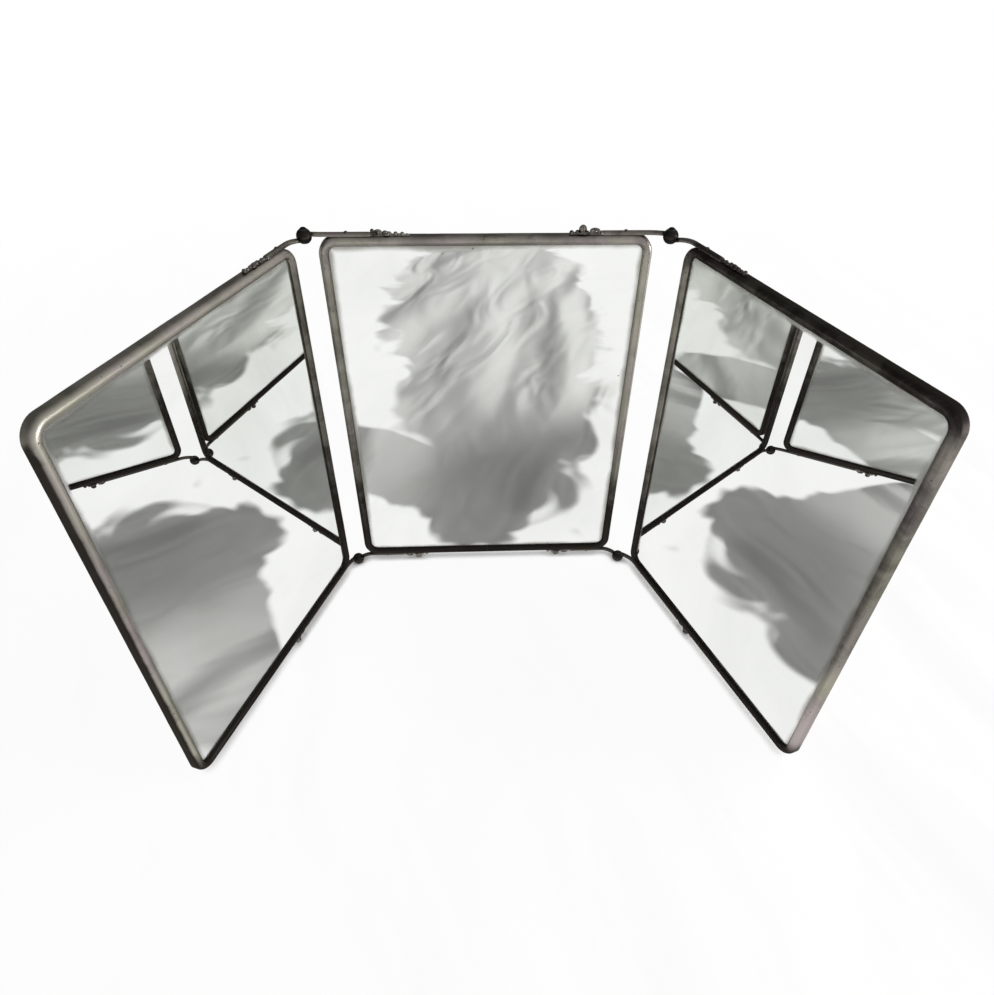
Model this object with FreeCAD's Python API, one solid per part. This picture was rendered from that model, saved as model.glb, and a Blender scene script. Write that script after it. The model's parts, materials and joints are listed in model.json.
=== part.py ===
"""Three-panel folding vanity mirror, about 1900, in nickel-plated brass.

A centre mirror and two wings of the same size stand on edge, joined by four
ball hinges, two at the top edge and two at the bottom edge.  Every panel is a
rolled half-round channel bent round a sandwich of mirror glass, packing card
and back board.

Axes: +X to the right of someone looking into the mirror, +Y to the back,
+Z up.  The origin is the middle of the footprint, on the surface that the
mirror stands on.  Lengths are millimetres, angles are degrees.
"""
import FreeCAD, Part
import math
import os

Vector = FreeCAD.Vector

# ---------------------------------------------------------------- dimensions

# The glass as it shows inside each frame.
SIGHT_WIDTH = 180.0
SIGHT_HEIGHT = 233.0
SIGHT_CORNER = 5.0

# The rolled channel: a half-round bead in front, a flat edge, a lip behind.
BEAD_WIDTH = 5.6
BEAD_RISE = 2.6
SHEET = 0.7
LIP_WIDTH = 4.0
BACK_FILLET = 0.5

# The sandwich that the channel holds, from front to back.
GLASS_THICK = 2.2
CARD_THICK = 0.5
BOARD_THICK = 0.6
EDGE_GAP = 0.5

# Hinge axes: how far beyond the sight glass of the centre and of the wing, and
# how far in front of its face.  The left wing closes first and the right wing
# closes over it, so the right axis stands further forward.  Fold is how far
# each wing is turned forward of flat, as the mirror stands.  Seat and rivet
# belong to the upper arm of the wing: its length and where its rivet is.
HINGES = {
    "left": {
        "side": -1,
        "centre_reach": 11.4,
        "wing_reach": 13.8,
        "depth": 3.7,
        "fold": 69.3,
        "wing_seat": 18.0,
        "wing_rivet": 8.0,
    },
    "right": {
        "side": 1,
        "centre_reach": 12.9,
        "wing_reach": 12.9,
        "depth": 7.4,
        "fold": 70.1,
        "wing_seat": 24.0,
        "wing_rivet": 11.0,
    },
}

# The leaf: a half-round arm seated on the edge of the frame, swept forward to
# one half of the ball knuckle.
ARM_WIDTH = 3.0
ARM_HEIGHT = 2.2
ARM_SHOULDER = 0.85
ARM_SEAT_Y = 0.6
ARM_LIFT = 1.85
SEAT_LENGTH = 24.0
LONG_SEAT_LENGTH = 61.0

# The ball knuckle, with heights measured outwards from the sight glass.
BALL_RADIUS = 4.3
BALL_HEIGHT = 7.2
WASHER_THICK = 0.3
WASHER_RADIUS = 2.6
AXIAL_PLAY = 0.05
EYE_OUTER_FLAT = 3.6
EYE_INNER_FLAT = 3.6
FOOT_FLAT = 2.8
KNUCKLE_CLEARANCE = 0.35

# The hinge pin, riveted into the centre leaf and free in the wing leaf.
PIN_RADIUS = 1.0
PIN_PLAY = 0.05
PIN_HEAD_RADIUS = 2.2
PIN_HEAD_RISE = 1.3
PIN_PEEN_RADIUS = 1.5
PIN_PEEN_RISE = 0.6
PIN_FOOT_RECESS = 0.3

# The small rivet that holds each arm to its frame, and how far from the end
# of the sight glass it is.
RIVET_INSET = 11.0
RIVET_RADIUS = 0.7
RIVET_HEAD_RADIUS = 1.3
RIVET_HEAD_RISE = 1.2
RIVET_SPOT_DEPTH = 0.6

# The cast spray that ends each arm: a tapered spine, scrolls and beads.
# Places run from the root of the spray; heights are above the frame's edge.
# The budded spray has its tall bud, which is also a foot on the lower edge;
# the plain one has two low knobs instead; the low one lies along a wing's
# upper edge with its scroll flat.
SPINE_ROOT_RADIUS = 1.5
SPINE_TIP_RADIUS = 0.7
SPINE_HEIGHT = 0.6
SPRAYS = {
    "budded": {
        "length": 18.8,
        "scrolls": [
            {"along": 4.2, "height": 1.4, "ring": 1.75, "thick": 0.75, "flat": False},
            {"along": 15.5, "height": 0.8, "ring": 0.9, "thick": 0.6, "flat": False},
        ],
        "beads": [
            {"along": 8.3, "height": 1.3, "aside": 0.0, "radius": 1.4},
            {"along": 11.5, "height": 3.5, "aside": 0.0, "radius": 1.75},
            {"along": 11.5, "height": 1.5, "aside": 0.0, "radius": 1.5},
            {"along": 11.5, "height": 1.3, "aside": 1.1, "radius": 1.2},
            {"along": 11.5, "height": 1.3, "aside": -1.1, "radius": 1.2},
            {"along": 13.6, "height": 1.0, "aside": 0.0, "radius": 1.2},
            {"along": 18.2, "height": 0.7, "aside": 0.0, "radius": 1.2},
        ],
    },
    "plain": {
        "length": 22.6,
        "scrolls": [
            {"along": 5.6, "height": 1.6, "ring": 1.6, "thick": 0.75, "flat": False},
        ],
        "beads": [
            {"along": 1.7, "height": 2.7, "aside": 0.0, "radius": 1.2},
            {"along": 9.5, "height": 1.4, "aside": 0.0, "radius": 1.6},
            {"along": 11.8, "height": 1.0, "aside": 0.0, "radius": 1.3},
            {"along": 14.8, "height": 1.0, "aside": 0.0, "radius": 1.35},
            {"along": 18.5, "height": 0.9, "aside": 0.0, "radius": 1.3},
            {"along": 21.2, "height": 0.4, "aside": 0.0, "radius": 0.9},
        ],
    },
    "low": {
        "length": 21.6,
        "scrolls": [
            {"along": 4.2, "height": 1.5, "ring": 1.2, "thick": 0.65, "flat": True},
        ],
        "beads": [
            {"along": 8.4, "height": 1.2, "aside": 0.0, "radius": 1.3},
            {"along": 11.8, "height": 1.1, "aside": 0.0, "radius": 1.45},
            {"along": 15.4, "height": 1.0, "aside": 0.0, "radius": 1.2},
            {"along": 20.6, "height": 1.0, "aside": 0.0, "radius": 1.5},
        ],
    },
}

# --------------------------------------------------------- derived dimensions

STACK_THICK = GLASS_THICK + CARD_THICK + BOARD_THICK
FRAME_BACK = STACK_THICK + SHEET
# Each rivet's head sits in a spot face, cut below the crown of the arm.
RIVET_SEAT = BEAD_WIDTH + ARM_HEIGHT - RIVET_SPOT_DEPTH
# The outer flat of a lower knuckle is the foot, and so the floor.
FLOOR_DROP = BALL_HEIGHT + FOOT_FLAT


# ------------------------------------------------------------- small helpers

def wire_of(edges):
    return Part.Wire(Part.__sortEdges__(edges))


def rounded_plate(grow, front, thick):
    """A plate with the outline of the sight glass, grown on every side."""
    half = SIGHT_WIDTH / 2 + grow
    low = -grow
    high = SIGHT_HEIGHT + grow
    radius = SIGHT_CORNER + grow
    plate = Part.makeBox(2 * half, thick, high - low, Vector(-half, front, low))
    upright = [edge for edge in plate.Edges if is_along_y(edge)]
    return plate.makeFillet(radius, upright)


def is_along_y(edge):
    first, last = edge.Vertexes[0].Point, edge.Vertexes[-1].Point
    return abs(first.x - last.x) < 1e-6 and abs(first.z - last.z) < 1e-6


def cylinder_z(radius, low, high, centre):
    return Part.makeCylinder(radius, high - low, Vector(centre.x, centre.y, low))


def dome(radius, rise, base_z, centre, up=1):
    """A shallow domed head that stands on base_z, upwards or downwards."""
    sphere_radius = (radius ** 2 + rise ** 2) / (2 * rise)
    ball_z = base_z + up * (rise - sphere_radius)
    ball = Part.makeSphere(sphere_radius, Vector(centre.x, centre.y, ball_z))
    low, high = sorted([base_z, base_z + up * 2 * rise])
    return ball.common(cylinder_z(radius + 1, low, high, centre))


def mirrored_x(shape):
    return shape.mirror(Vector(0, 0, 0), Vector(1, 0, 0))


def mirrored_z(shape):
    return shape.mirror(Vector(0, 0, SIGHT_HEIGHT / 2), Vector(0, 0, 1))


# ------------------------------------------------------------ panel and frame

def channel_section(corner_x, z):
    """The bent strip's section, in the plane of constant Z, on the +X side.

    It starts where the bead lands on the glass, goes over the half-round,
    down the flat edge and in along the back lip, then returns inside.
    """
    bead = BEAD_WIDTH / 2
    bead_y = bead - BEAD_RISE
    inner = bead - SHEET
    outer_landing = bead - math.sqrt(bead ** 2 - bead_y ** 2)
    inner_landing = bead - math.sqrt(inner ** 2 - bead_y ** 2)

    def at(out, back):
        return Vector(corner_x + out, back, z)

    fillet = BACK_FILLET
    corner = fillet * (1 - math.sqrt(0.5))
    inside = BEAD_WIDTH - SHEET
    lip_end = BEAD_WIDTH - LIP_WIDTH
    edges = [
        Part.Arc(at(outer_landing, 0), at(bead, bead_y - bead), at(BEAD_WIDTH, bead_y)).toShape(),
        Part.makeLine(at(BEAD_WIDTH, bead_y), at(BEAD_WIDTH, FRAME_BACK - fillet)),
        Part.Arc(
            at(BEAD_WIDTH, FRAME_BACK - fillet),
            at(BEAD_WIDTH - corner, FRAME_BACK - corner),
            at(BEAD_WIDTH - fillet, FRAME_BACK),
        ).toShape(),
        Part.makeLine(at(BEAD_WIDTH - fillet, FRAME_BACK), at(lip_end, FRAME_BACK)),
        Part.makeLine(at(lip_end, FRAME_BACK), at(lip_end, STACK_THICK)),
        Part.makeLine(at(lip_end, STACK_THICK), at(inside, STACK_THICK)),
        Part.makeLine(at(inside, STACK_THICK), at(inside, bead_y)),
        Part.Arc(at(inside, bead_y), at(bead, bead_y - inner), at(inner_landing, 0)).toShape(),
        Part.makeLine(at(inner_landing, 0), at(outer_landing, 0)),
    ]
    return Part.Face(wire_of(edges))


def frame_shape():
    """The channel bent round the sight glass: four rails and four corners."""
    half = SIGHT_WIDTH / 2
    side = SIGHT_HEIGHT - 2 * SIGHT_CORNER
    top = SIGHT_WIDTH - 2 * SIGHT_CORNER
    section = channel_section(half, SIGHT_CORNER)
    side_rail = section.extrude(Vector(0, 0, side))
    section_top = channel_section(half, SIGHT_HEIGHT - SIGHT_CORNER)
    corner_centre = Vector(half - SIGHT_CORNER, 0, SIGHT_HEIGHT - SIGHT_CORNER)
    corner = section_top.revolve(corner_centre, Vector(0, 1, 0), -90)
    section_turned = section_top.copy()
    section_turned.rotate(corner_centre, Vector(0, 1, 0), -90)
    top_rail = section_turned.extrude(Vector(-top, 0, 0))
    upper_right = [side_rail, corner, top_rail]
    pieces = upper_right + [
        mirrored_x(side_rail),
        mirrored_x(corner),
        mirrored_z(corner),
        mirrored_x(mirrored_z(corner)),
        mirrored_z(top_rail),
    ]
    return pieces[0].multiFuse(pieces[1:]).removeSplitter().Solids[0]


def drilled(frame, side, upper_inset, lower_inset):
    """The frame with the holes for the rivets of the arms at one end."""
    inside = SIGHT_HEIGHT + BEAD_WIDTH - 2 * SHEET
    outside = SIGHT_HEIGHT + 2 * BEAD_WIDTH
    upper_centre = Vector(side * (SIGHT_WIDTH / 2 - upper_inset), ARM_SEAT_Y, 0)
    lower_centre = Vector(side * (SIGHT_WIDTH / 2 - lower_inset), ARM_SEAT_Y, 0)
    upper = cylinder_z(RIVET_RADIUS, inside, outside, upper_centre)
    lower = mirrored_z(cylinder_z(RIVET_RADIUS, inside, outside, lower_centre))
    return frame.cut(upper).cut(lower).Solids[0]


def panel_layers():
    """The three layers inside every frame, named by what they are."""
    grow = BEAD_WIDTH - SHEET - EDGE_GAP
    return {
        "mirror_glass": rounded_plate(grow, 0, GLASS_THICK),
        "packing_card": rounded_plate(grow, GLASS_THICK, CARD_THICK),
        "back_board": rounded_plate(grow, GLASS_THICK + CARD_THICK, BOARD_THICK),
    }


# --------------------------------------------------------------- hinge leaves
# A leaf is made for the top edge, at the right-hand end of a panel: X = 0 is
# the edge of the sight glass, Z = 0 is the top of the sight glass.

def arm_section():
    """The half-round section of the arm, flat side down on the frame."""
    y, z = ARM_SEAT_Y, BEAD_WIDTH
    half = ARM_WIDTH / 2
    left = Vector(0, y - half, z)
    right = Vector(0, y + half, z)
    left_shoulder = Vector(0, y - half, z + ARM_SHOULDER)
    right_shoulder = Vector(0, y + half, z + ARM_SHOULDER)
    crown = Vector(0, y, z + ARM_HEIGHT)
    edges = [
        Part.makeLine(left, right),
        Part.makeLine(right, right_shoulder),
        Part.Arc(right_shoulder, crown, left_shoulder).toShape(),
        Part.makeLine(left_shoulder, left),
    ]
    return Part.Face(wire_of(edges))


def arm_shape(reach, depth, seat_length, lift):
    """The seat along the frame and the sweep out to the hinge axis.

    The sweep is one arc.  It leaves the seat without a kink and ends on the
    axis, raised or lowered to meet its own half of the ball.
    """
    section = arm_section()
    seat = section.extrude(Vector(-seat_length, 0, 0))
    forward = Vector(0, -(depth + ARM_SEAT_Y), lift)
    turn = 2 * math.atan2(forward.Length, reach)
    bend = reach / math.sin(turn)
    toward = Vector(forward).normalize()
    start = Vector(0, ARM_SEAT_Y, BEAD_WIDTH + ARM_HEIGHT / 2)
    spindle = Vector(1, 0, 0).cross(toward)
    sweep = section.revolve(start + toward * bend, spindle, math.degrees(turn))
    return seat.fuse(sweep)


def leaf_shape(reach, depth, seat_length, rivet_inset, outer, foot):
    """One leaf: arm, half of the ball, pin hole and rivet hole."""
    centre = Vector(reach, -depth, 0)
    split_high = BALL_HEIGHT + WASHER_THICK / 2
    split_low = BALL_HEIGHT - WASHER_THICK / 2 - AXIAL_PLAY
    ball = Part.makeSphere(BALL_RADIUS, centre + Vector(0, 0, BALL_HEIGHT))
    room = BALL_RADIUS + KNUCKLE_CLEARANCE
    beyond = 2 * BALL_RADIUS
    if outer:
        flat = FOOT_FLAT if foot else EYE_OUTER_FLAT
        slab = cylinder_z(room, split_high, BALL_HEIGHT + flat, centre)
        keep_out = cylinder_z(room, split_high - beyond, split_high, centre)
        hole_radius = PIN_RADIUS
    else:
        slab = cylinder_z(room, BALL_HEIGHT - EYE_INNER_FLAT, split_low, centre)
        keep_out = cylinder_z(room, split_low, split_low + beyond, centre)
        hole_radius = PIN_RADIUS + PIN_PLAY
    arm = arm_shape(reach, depth, seat_length, ARM_LIFT if outer else -ARM_LIFT)
    leaf = arm.cut(keep_out).fuse(ball.common(slab))
    leaf = leaf.cut(cylinder_z(hole_radius, 0, 2 * BALL_HEIGHT, centre))
    rivet_centre = Vector(-rivet_inset, ARM_SEAT_Y, 0)
    leaf = leaf.cut(cylinder_z(RIVET_RADIUS, 0, RIVET_SEAT, rivet_centre))
    leaf = leaf.cut(cylinder_z(RIVET_HEAD_RADIUS, RIVET_SEAT, 2 * BALL_HEIGHT, rivet_centre))
    return leaf.removeSplitter().Solids[0]


def pin_shape(centre, foot):
    """The pin: a domed head outside, or a recessed end in a foot."""
    inner_end = BALL_HEIGHT - EYE_INNER_FLAT - AXIAL_PLAY
    if foot:
        outer_end = BALL_HEIGHT + FOOT_FLAT - PIN_FOOT_RECESS
    else:
        outer_end = BALL_HEIGHT + EYE_OUTER_FLAT
    pin = cylinder_z(PIN_RADIUS, inner_end, outer_end, centre)
    pin = pin.fuse(dome(PIN_PEEN_RADIUS, PIN_PEEN_RISE, inner_end, centre, up=-1))
    if not foot:
        pin = pin.fuse(dome(PIN_HEAD_RADIUS, PIN_HEAD_RISE, outer_end, centre))
    return pin.removeSplitter().Solids[0]


def washer_shape(centre):
    low = BALL_HEIGHT - WASHER_THICK / 2
    high = BALL_HEIGHT + WASHER_THICK / 2
    disc = cylinder_z(WASHER_RADIUS, low, high, centre)
    return disc.cut(cylinder_z(PIN_RADIUS + PIN_PLAY, low, high, centre))


def rivet_shape(inset):
    """The rivet: a domed head on the arm and a shank down to the channel."""
    centre = Vector(-inset, ARM_SEAT_Y, 0)
    shank = cylinder_z(RIVET_RADIUS, BEAD_WIDTH - SHEET, RIVET_SEAT, centre)
    rivet = shank.fuse(dome(RIVET_HEAD_RADIUS, RIVET_HEAD_RISE, RIVET_SEAT, centre))
    return rivet.removeSplitter().Solids[0]


def spray_shape(seat_length, style):
    """The cast spray at the inner end of an arm, flat on the frame's edge."""
    spray = SPRAYS[style]
    root = Vector(-seat_length, ARM_SEAT_Y, BEAD_WIDTH)
    spine = Part.makeCone(
        SPINE_ROOT_RADIUS,
        SPINE_TIP_RADIUS,
        spray["length"],
        root + Vector(0, 0, SPINE_HEIGHT),
        Vector(-1, 0, 0),
    )
    lobes = []
    for scroll in spray["scrolls"]:
        place = root + Vector(-scroll["along"], 0, scroll["height"])
        spindle = Vector(0, 0, 1) if scroll["flat"] else Vector(0, 1, 0)
        lobes.append(Part.makeTorus(scroll["ring"], scroll["thick"], place, spindle))
    for bead in spray["beads"]:
        place = root + Vector(-bead["along"], bead["aside"], bead["height"])
        lobes.append(Part.makeSphere(bead["radius"], place))
    casting = spine.multiFuse(lobes)
    reach = 2 * spray["length"]
    above = Part.makeBox(reach, reach, reach, root + Vector(-reach, -spray["length"], 0))
    return casting.common(above).removeSplitter().Solids[0]


# ------------------------------------------------------------------ assembly

def to_top(shape):
    """Lift a leaf part from its own zero to the top of the sight glass."""
    moved = shape.copy()
    moved.translate(Vector(0, 0, SIGHT_HEIGHT))
    return moved


def level(shape, edge):
    """Place a leaf part on the top edge, or mirrored on the bottom edge."""
    lifted = to_top(shape)
    return lifted if edge == "top" else mirrored_z(lifted)


def on_centre(shape, hinge):
    """Move a leaf part to the centre panel's end on this hinge's side."""
    moved = shape.copy()
    moved.translate(Vector(SIGHT_WIDTH / 2, 0, 0))
    return moved if hinge["side"] > 0 else mirrored_x(moved)


def on_wing(shape, hinge):
    """Take a shape from panel coordinates to the folded wing.

    The wing's panel stands where the centre panel would continue if the
    mirror were flat, and then turns forward about the hinge axis.
    """
    side = hinge["side"]
    pitch = SIGHT_WIDTH + hinge["centre_reach"] + hinge["wing_reach"]
    moved = shape.copy()
    moved.translate(Vector(side * pitch, 0, 0))
    moved.rotate(hinge_axis(hinge), Vector(0, 0, 1), -side * hinge["fold"])
    return moved


def hinge_axis(hinge):
    x = SIGHT_WIDTH / 2 + hinge["centre_reach"]
    return Vector(hinge["side"] * x, -hinge["depth"], 0)


def wing_leaf_end(shape, hinge):
    """A wing's leaf parts sit at the end of the wing next to the hinge."""
    moved = shape.copy()
    moved.translate(Vector(SIGHT_WIDTH / 2, 0, 0))
    return on_wing(mirrored_x(moved) if hinge["side"] > 0 else moved, hinge)


def panel_parts():
    """The frame, glass, card and board of the three panels."""
    parts = {}
    frame = frame_shape()
    centre_frame = drilled(frame, -1, RIVET_INSET, RIVET_INSET)
    parts["centre_frame"] = [drilled(centre_frame, 1, RIVET_INSET, RIVET_INSET)]
    for name, hinge in HINGES.items():
        wing_frame = drilled(frame, -hinge["side"], hinge["wing_rivet"], RIVET_INSET)
        parts[name + "_wing_frame"] = [on_wing(wing_frame, hinge)]
    for piece, shape in panel_layers().items():
        parts["centre_" + piece] = [shape]
        for name, hinge in HINGES.items():
            parts[name + "_wing_" + piece] = [on_wing(shape, hinge)]
    return parts


def hinge_choices(hinge, foot):
    """Seat length and rivet place of the wing's arm, and both spray styles."""
    if foot:
        return LONG_SEAT_LENGTH, RIVET_INSET, "budded", "budded"
    centre_style = "plain" if hinge["side"] < 0 else "budded"
    return hinge["wing_seat"], hinge["wing_rivet"], centre_style, "low"


def build_parts():
    """Every node of the mirror, as a name and a list of solids."""
    parts = panel_parts()
    washers = []
    rivets = {"centre": [], "left_wing": [], "right_wing": []}
    for name, hinge in HINGES.items():
        depth = hinge["depth"]
        reach = hinge["centre_reach"]
        wing_reach = hinge["wing_reach"]
        pin_centre = Vector(reach, -depth, 0)
        for edge, word in (("top", "upper"), ("bottom", "lower")):
            foot = edge == "bottom"
            where = name + "_" + word
            seat, inset, centre_style, wing_style = hinge_choices(hinge, foot)
            centre_leaf = leaf_shape(reach, depth, SEAT_LENGTH, RIVET_INSET, True, foot)
            wing_leaf = leaf_shape(wing_reach, depth, seat, inset, False, foot)
            centre_spray = spray_shape(SEAT_LENGTH, centre_style)
            wing_spray = spray_shape(seat, wing_style)
            pin = level(pin_shape(pin_centre, foot), edge)
            washer = level(washer_shape(pin_centre), edge)
            centre_rivet = level(rivet_shape(RIVET_INSET), edge)
            wing_rivet = level(rivet_shape(inset), edge)
            parts[where + "_centre_leaf"] = [on_centre(level(centre_leaf, edge), hinge)]
            parts[where + "_wing_leaf"] = [wing_leaf_end(level(wing_leaf, edge), hinge)]
            parts[where + "_pin"] = [on_centre(pin, hinge)]
            parts[where + "_centre_spray"] = [on_centre(level(centre_spray, edge), hinge)]
            parts[where + "_wing_spray"] = [wing_leaf_end(level(wing_spray, edge), hinge)]
            washers.append(on_centre(washer, hinge))
            rivets["centre"].append(on_centre(centre_rivet, hinge))
            rivets[name + "_wing"].append(wing_leaf_end(wing_rivet, hinge))
    parts["hinge_washers"] = washers
    for owner, group in rivets.items():
        parts[owner + "_leaf_rivets"] = group
    return parts


def stand_on_floor(parts):
    """File the lowest castings flush with the feet and set the origin.

    The feet of the lower knuckles are flat at the floor; the buds of the
    lower sprays are worn to the same plane.
    """
    wide = 4 * SIGHT_WIDTH
    floor = Part.makeBox(2 * wide, 2 * wide, wide, Vector(-wide, -wide, -wide - FLOOR_DROP))
    for node, solids in parts.items():
        if "_lower_" in node and node.endswith("_spray"):
            parts[node] = [solid.cut(floor).Solids[0] for solid in solids]
    everything = Part.makeCompound([solid for solids in parts.values() for solid in solids])
    box = everything.optimalBoundingBox(False, False)
    shift = Vector(-(box.XMin + box.XMax) / 2, -(box.YMin + box.YMax) / 2, FLOOR_DROP)
    for solids in parts.values():
        for solid in solids:
            solid.translate(shift)
    return shift


def main():
    os.makedirs("parts", exist_ok=True)
    parts = build_parts()
    shift = stand_on_floor(parts)
    for node, solids in sorted(parts.items()):
        shape = solids[0] if len(solids) == 1 else Part.makeCompound(solids)
        valid = all(solid.isValid() for solid in solids)
        print(f"{node:30s} solids {len(solids)}  volume {shape.Volume:10.2f}  valid {valid}")
        shape.exportStep("parts/" + node + ".step")
    for name, hinge in HINGES.items():
        axis = hinge_axis(hinge) + shift
        print(f"{name} hinge axis  x {axis.x:.4f}  y {axis.y:.4f}")
    print(f"centre glass face  y {shift.y:.4f},  sight bottom  z {shift.z:.4f}")


main()
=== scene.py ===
# %% [markdown]
# # A three-panel dressing mirror
# The mirror has a centre panel and two wings.  Each panel is a plate of
# silvered glass in a frame rolled from one strip of nickel-plated brass, and
# four ball hinges with small castings hold the panels together.  This script
# dresses the finished model: it gives each surface its finish, swaps a few
# plain solids for detailed pieces, and sets up floor, light and camera.
# Lengths are metres.  +X is the viewer's right, +Y is away from the viewer.

import json
import math

import bmesh
import bpy
from mathutils import Matrix, Vector, noise


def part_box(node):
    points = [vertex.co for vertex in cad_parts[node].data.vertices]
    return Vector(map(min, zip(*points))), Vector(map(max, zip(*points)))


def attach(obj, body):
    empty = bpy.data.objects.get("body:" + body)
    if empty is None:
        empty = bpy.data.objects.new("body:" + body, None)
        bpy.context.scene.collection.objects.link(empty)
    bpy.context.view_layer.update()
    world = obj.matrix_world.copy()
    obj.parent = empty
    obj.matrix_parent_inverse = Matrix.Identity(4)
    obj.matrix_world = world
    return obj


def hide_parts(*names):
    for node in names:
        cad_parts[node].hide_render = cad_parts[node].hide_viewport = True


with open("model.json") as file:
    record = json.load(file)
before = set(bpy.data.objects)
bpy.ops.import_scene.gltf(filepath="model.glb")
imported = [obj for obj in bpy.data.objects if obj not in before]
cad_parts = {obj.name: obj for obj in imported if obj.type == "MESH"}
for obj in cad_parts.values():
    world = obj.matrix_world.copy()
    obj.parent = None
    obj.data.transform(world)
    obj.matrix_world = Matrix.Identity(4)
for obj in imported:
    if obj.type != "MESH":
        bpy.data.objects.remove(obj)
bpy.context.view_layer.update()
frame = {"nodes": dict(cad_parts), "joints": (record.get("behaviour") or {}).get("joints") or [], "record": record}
nodes = frame["nodes"]
joints = {joint["name"]: joint for joint in frame["joints"]}
MM = 0.001
print("pieces in the frame:", len(nodes), "joints:", sorted(joints))

# %% [markdown]
# ## Where the panels are
# A wing is a copy of the centre panel, turned about its hinge axis.  Its place
# could be typed in, but the model already knows it: the joint gives the axis,
# and the joint's lower limit is the angle back to flat.  So a short matrix
# takes anything that is made for the centre panel to either wing.  Panel
# coordinates start in the middle of the panel, on the front of its glass.

# %% Panel places
SIGHT_HALF_WIDTH = 90 * MM
SIGHT_HALF_HEIGHT = 116.5 * MM
SIGHT_CORNER = 5 * MM

glass_low, glass_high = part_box("centre_mirror_glass")
glass_middle = (glass_low + glass_high) / 2
PANEL_MIDDLE = Vector((glass_middle.x, glass_low.y, glass_middle.z))


def hinge_turn(joint, degrees):
    """The matrix that turns about a joint's axis."""
    place = Vector(joint["pos_m"])
    turn = Matrix.Rotation(math.radians(degrees), 4, Vector(joint["axis"]))
    return Matrix.Translation(place) @ turn @ Matrix.Translation(-place)


def wing_place(side):
    """The matrix from panel coordinates to a wing, as it stands."""
    joint = joints[side + "_wing_fold"]
    to_flat = hinge_turn(joint, joint["range_deg"][0])
    glass = nodes[side + "_wing_mirror_glass"].data
    across = [(to_flat @ vert.co).x for vert in glass.vertices]
    flat_x = (min(across) + max(across)) / 2
    flat_middle = Vector((flat_x, PANEL_MIDDLE.y, PANEL_MIDDLE.z))
    return to_flat.inverted() @ Matrix.Translation(flat_middle)


PLACES = {
    "centre": Matrix.Translation(PANEL_MIDDLE),
    "left_wing": wing_place("left"),
    "right_wing": wing_place("right"),
}
BODIES = {"centre": "centre_panel", "left_wing": "left_wing", "right_wing": "right_wing"}
for name, place in PLACES.items():
    print(name, "middle", [round(value, 4) for value in place.translation])

# %% [markdown]
# ## From bmesh to object
# Every new piece is shaped in a bmesh in handy coordinates, moved to its place
# there, and only then becomes an object, so that the object itself stays at
# the origin.  Edges sharper than a set angle stay crisp, the rest is smooth.

# %% Piece helper
CREASE_ANGLE = 35.0


def make_piece(shape, name, body, material, sharp=CREASE_ANGLE):
    """Turn a finished bmesh into an object that rides on a body."""
    mesh = bpy.data.meshes.new(name)
    shape.to_mesh(mesh)
    shape.free()
    mesh.shade_smooth()
    mesh.set_sharp_from_angle(angle=math.radians(sharp))
    mesh.materials.append(material)
    piece = bpy.data.objects.new(name, mesh)
    bpy.context.scene.collection.objects.link(piece)
    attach(piece, body)
    return piece


print("edges stay crisp over", CREASE_ANGLE, "degrees")

# %% [markdown]
# ## Writing shader nodes
# A material is a small tree of nodes.  Building it by hand in the editor is
# fine for one, but these finishes share most of their parts, so a few short
# helpers write nodes and links here, and the shared effects become groups.

# %% Node helpers
def feed(tree, socket, value):
    """Give a socket a plain value, or link another node's output to it."""
    if isinstance(value, bpy.types.NodeSocket):
        tree.links.new(value, socket)
    else:
        socket.default_value = value


def add_node(tree, kind, settings=None, **inputs):
    """Add a node; an underscore in an input's name stands for a space."""
    made = tree.nodes.new(kind)
    for name, value in (settings or {}).items():
        setattr(made, name, value)
    for name, value in inputs.items():
        feed(tree, made.inputs[name.replace("_", " ")], value)
    return made


def calculate(tree, operation, *values):
    """A Math node on one, two or three values."""
    made = add_node(tree, "ShaderNodeMath", {"operation": operation})
    for socket, value in zip(made.inputs, values):
        feed(tree, socket, value)
    return made.outputs[0]


MIX_SOCKETS = (0, 6, 7)
MIX_RESULT = 2


def blend_colours(tree, factor, first, second, blend_type="MIX"):
    """A Mix node on two colours.

    The node keeps other sockets for numbers and vectors under the same
    names, so the factor's and the colours' are found by their place.
    """
    made = add_node(tree, "ShaderNodeMix", {"data_type": "RGBA", "blend_type": blend_type})
    for place, value in zip(MIX_SOCKETS, (factor, first, second)):
        feed(tree, made.inputs[place], value)
    return made.outputs[MIX_RESULT]


def remap(tree, value, low, high, to_low=0.0, to_high=1.0):
    """A smooth step from one range to another; low may be the larger number."""
    made = add_node(tree, "ShaderNodeMapRange", {"interpolation_type": "SMOOTHSTEP"}, Value=value)
    for socket, number in zip(made.inputs[1:5], (low, high, to_low, to_high)):
        socket.default_value = number
    return made.outputs[0]


def object_point(tree):
    """A point's place in Object coordinates, which turn with the piece."""
    return add_node(tree, "ShaderNodeTexCoord").outputs["Object"]


def add_noise(tree, point, scale, detail, roughness=0.5, distortion=0.0):
    """A Noise texture: scale counts its cells in a metre."""
    return add_node(tree, "ShaderNodeTexNoise", Vector=point, Scale=scale, Detail=detail,
                    Roughness=roughness, Distortion=distortion).outputs[0]


def new_group(name, inputs, outputs):
    """A node group with named numbers: returns its tree, inputs and outputs."""
    tree = bpy.data.node_groups.new(name, "ShaderNodeTree")
    for label, value in inputs.items():
        socket = tree.interface.new_socket(label, in_out="INPUT", socket_type="NodeSocketFloat")
        socket.default_value = value
    for label in outputs:
        tree.interface.new_socket(label, in_out="OUTPUT", socket_type="NodeSocketFloat")
    return tree, tree.nodes.new("NodeGroupInput"), tree.nodes.new("NodeGroupOutput")


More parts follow.
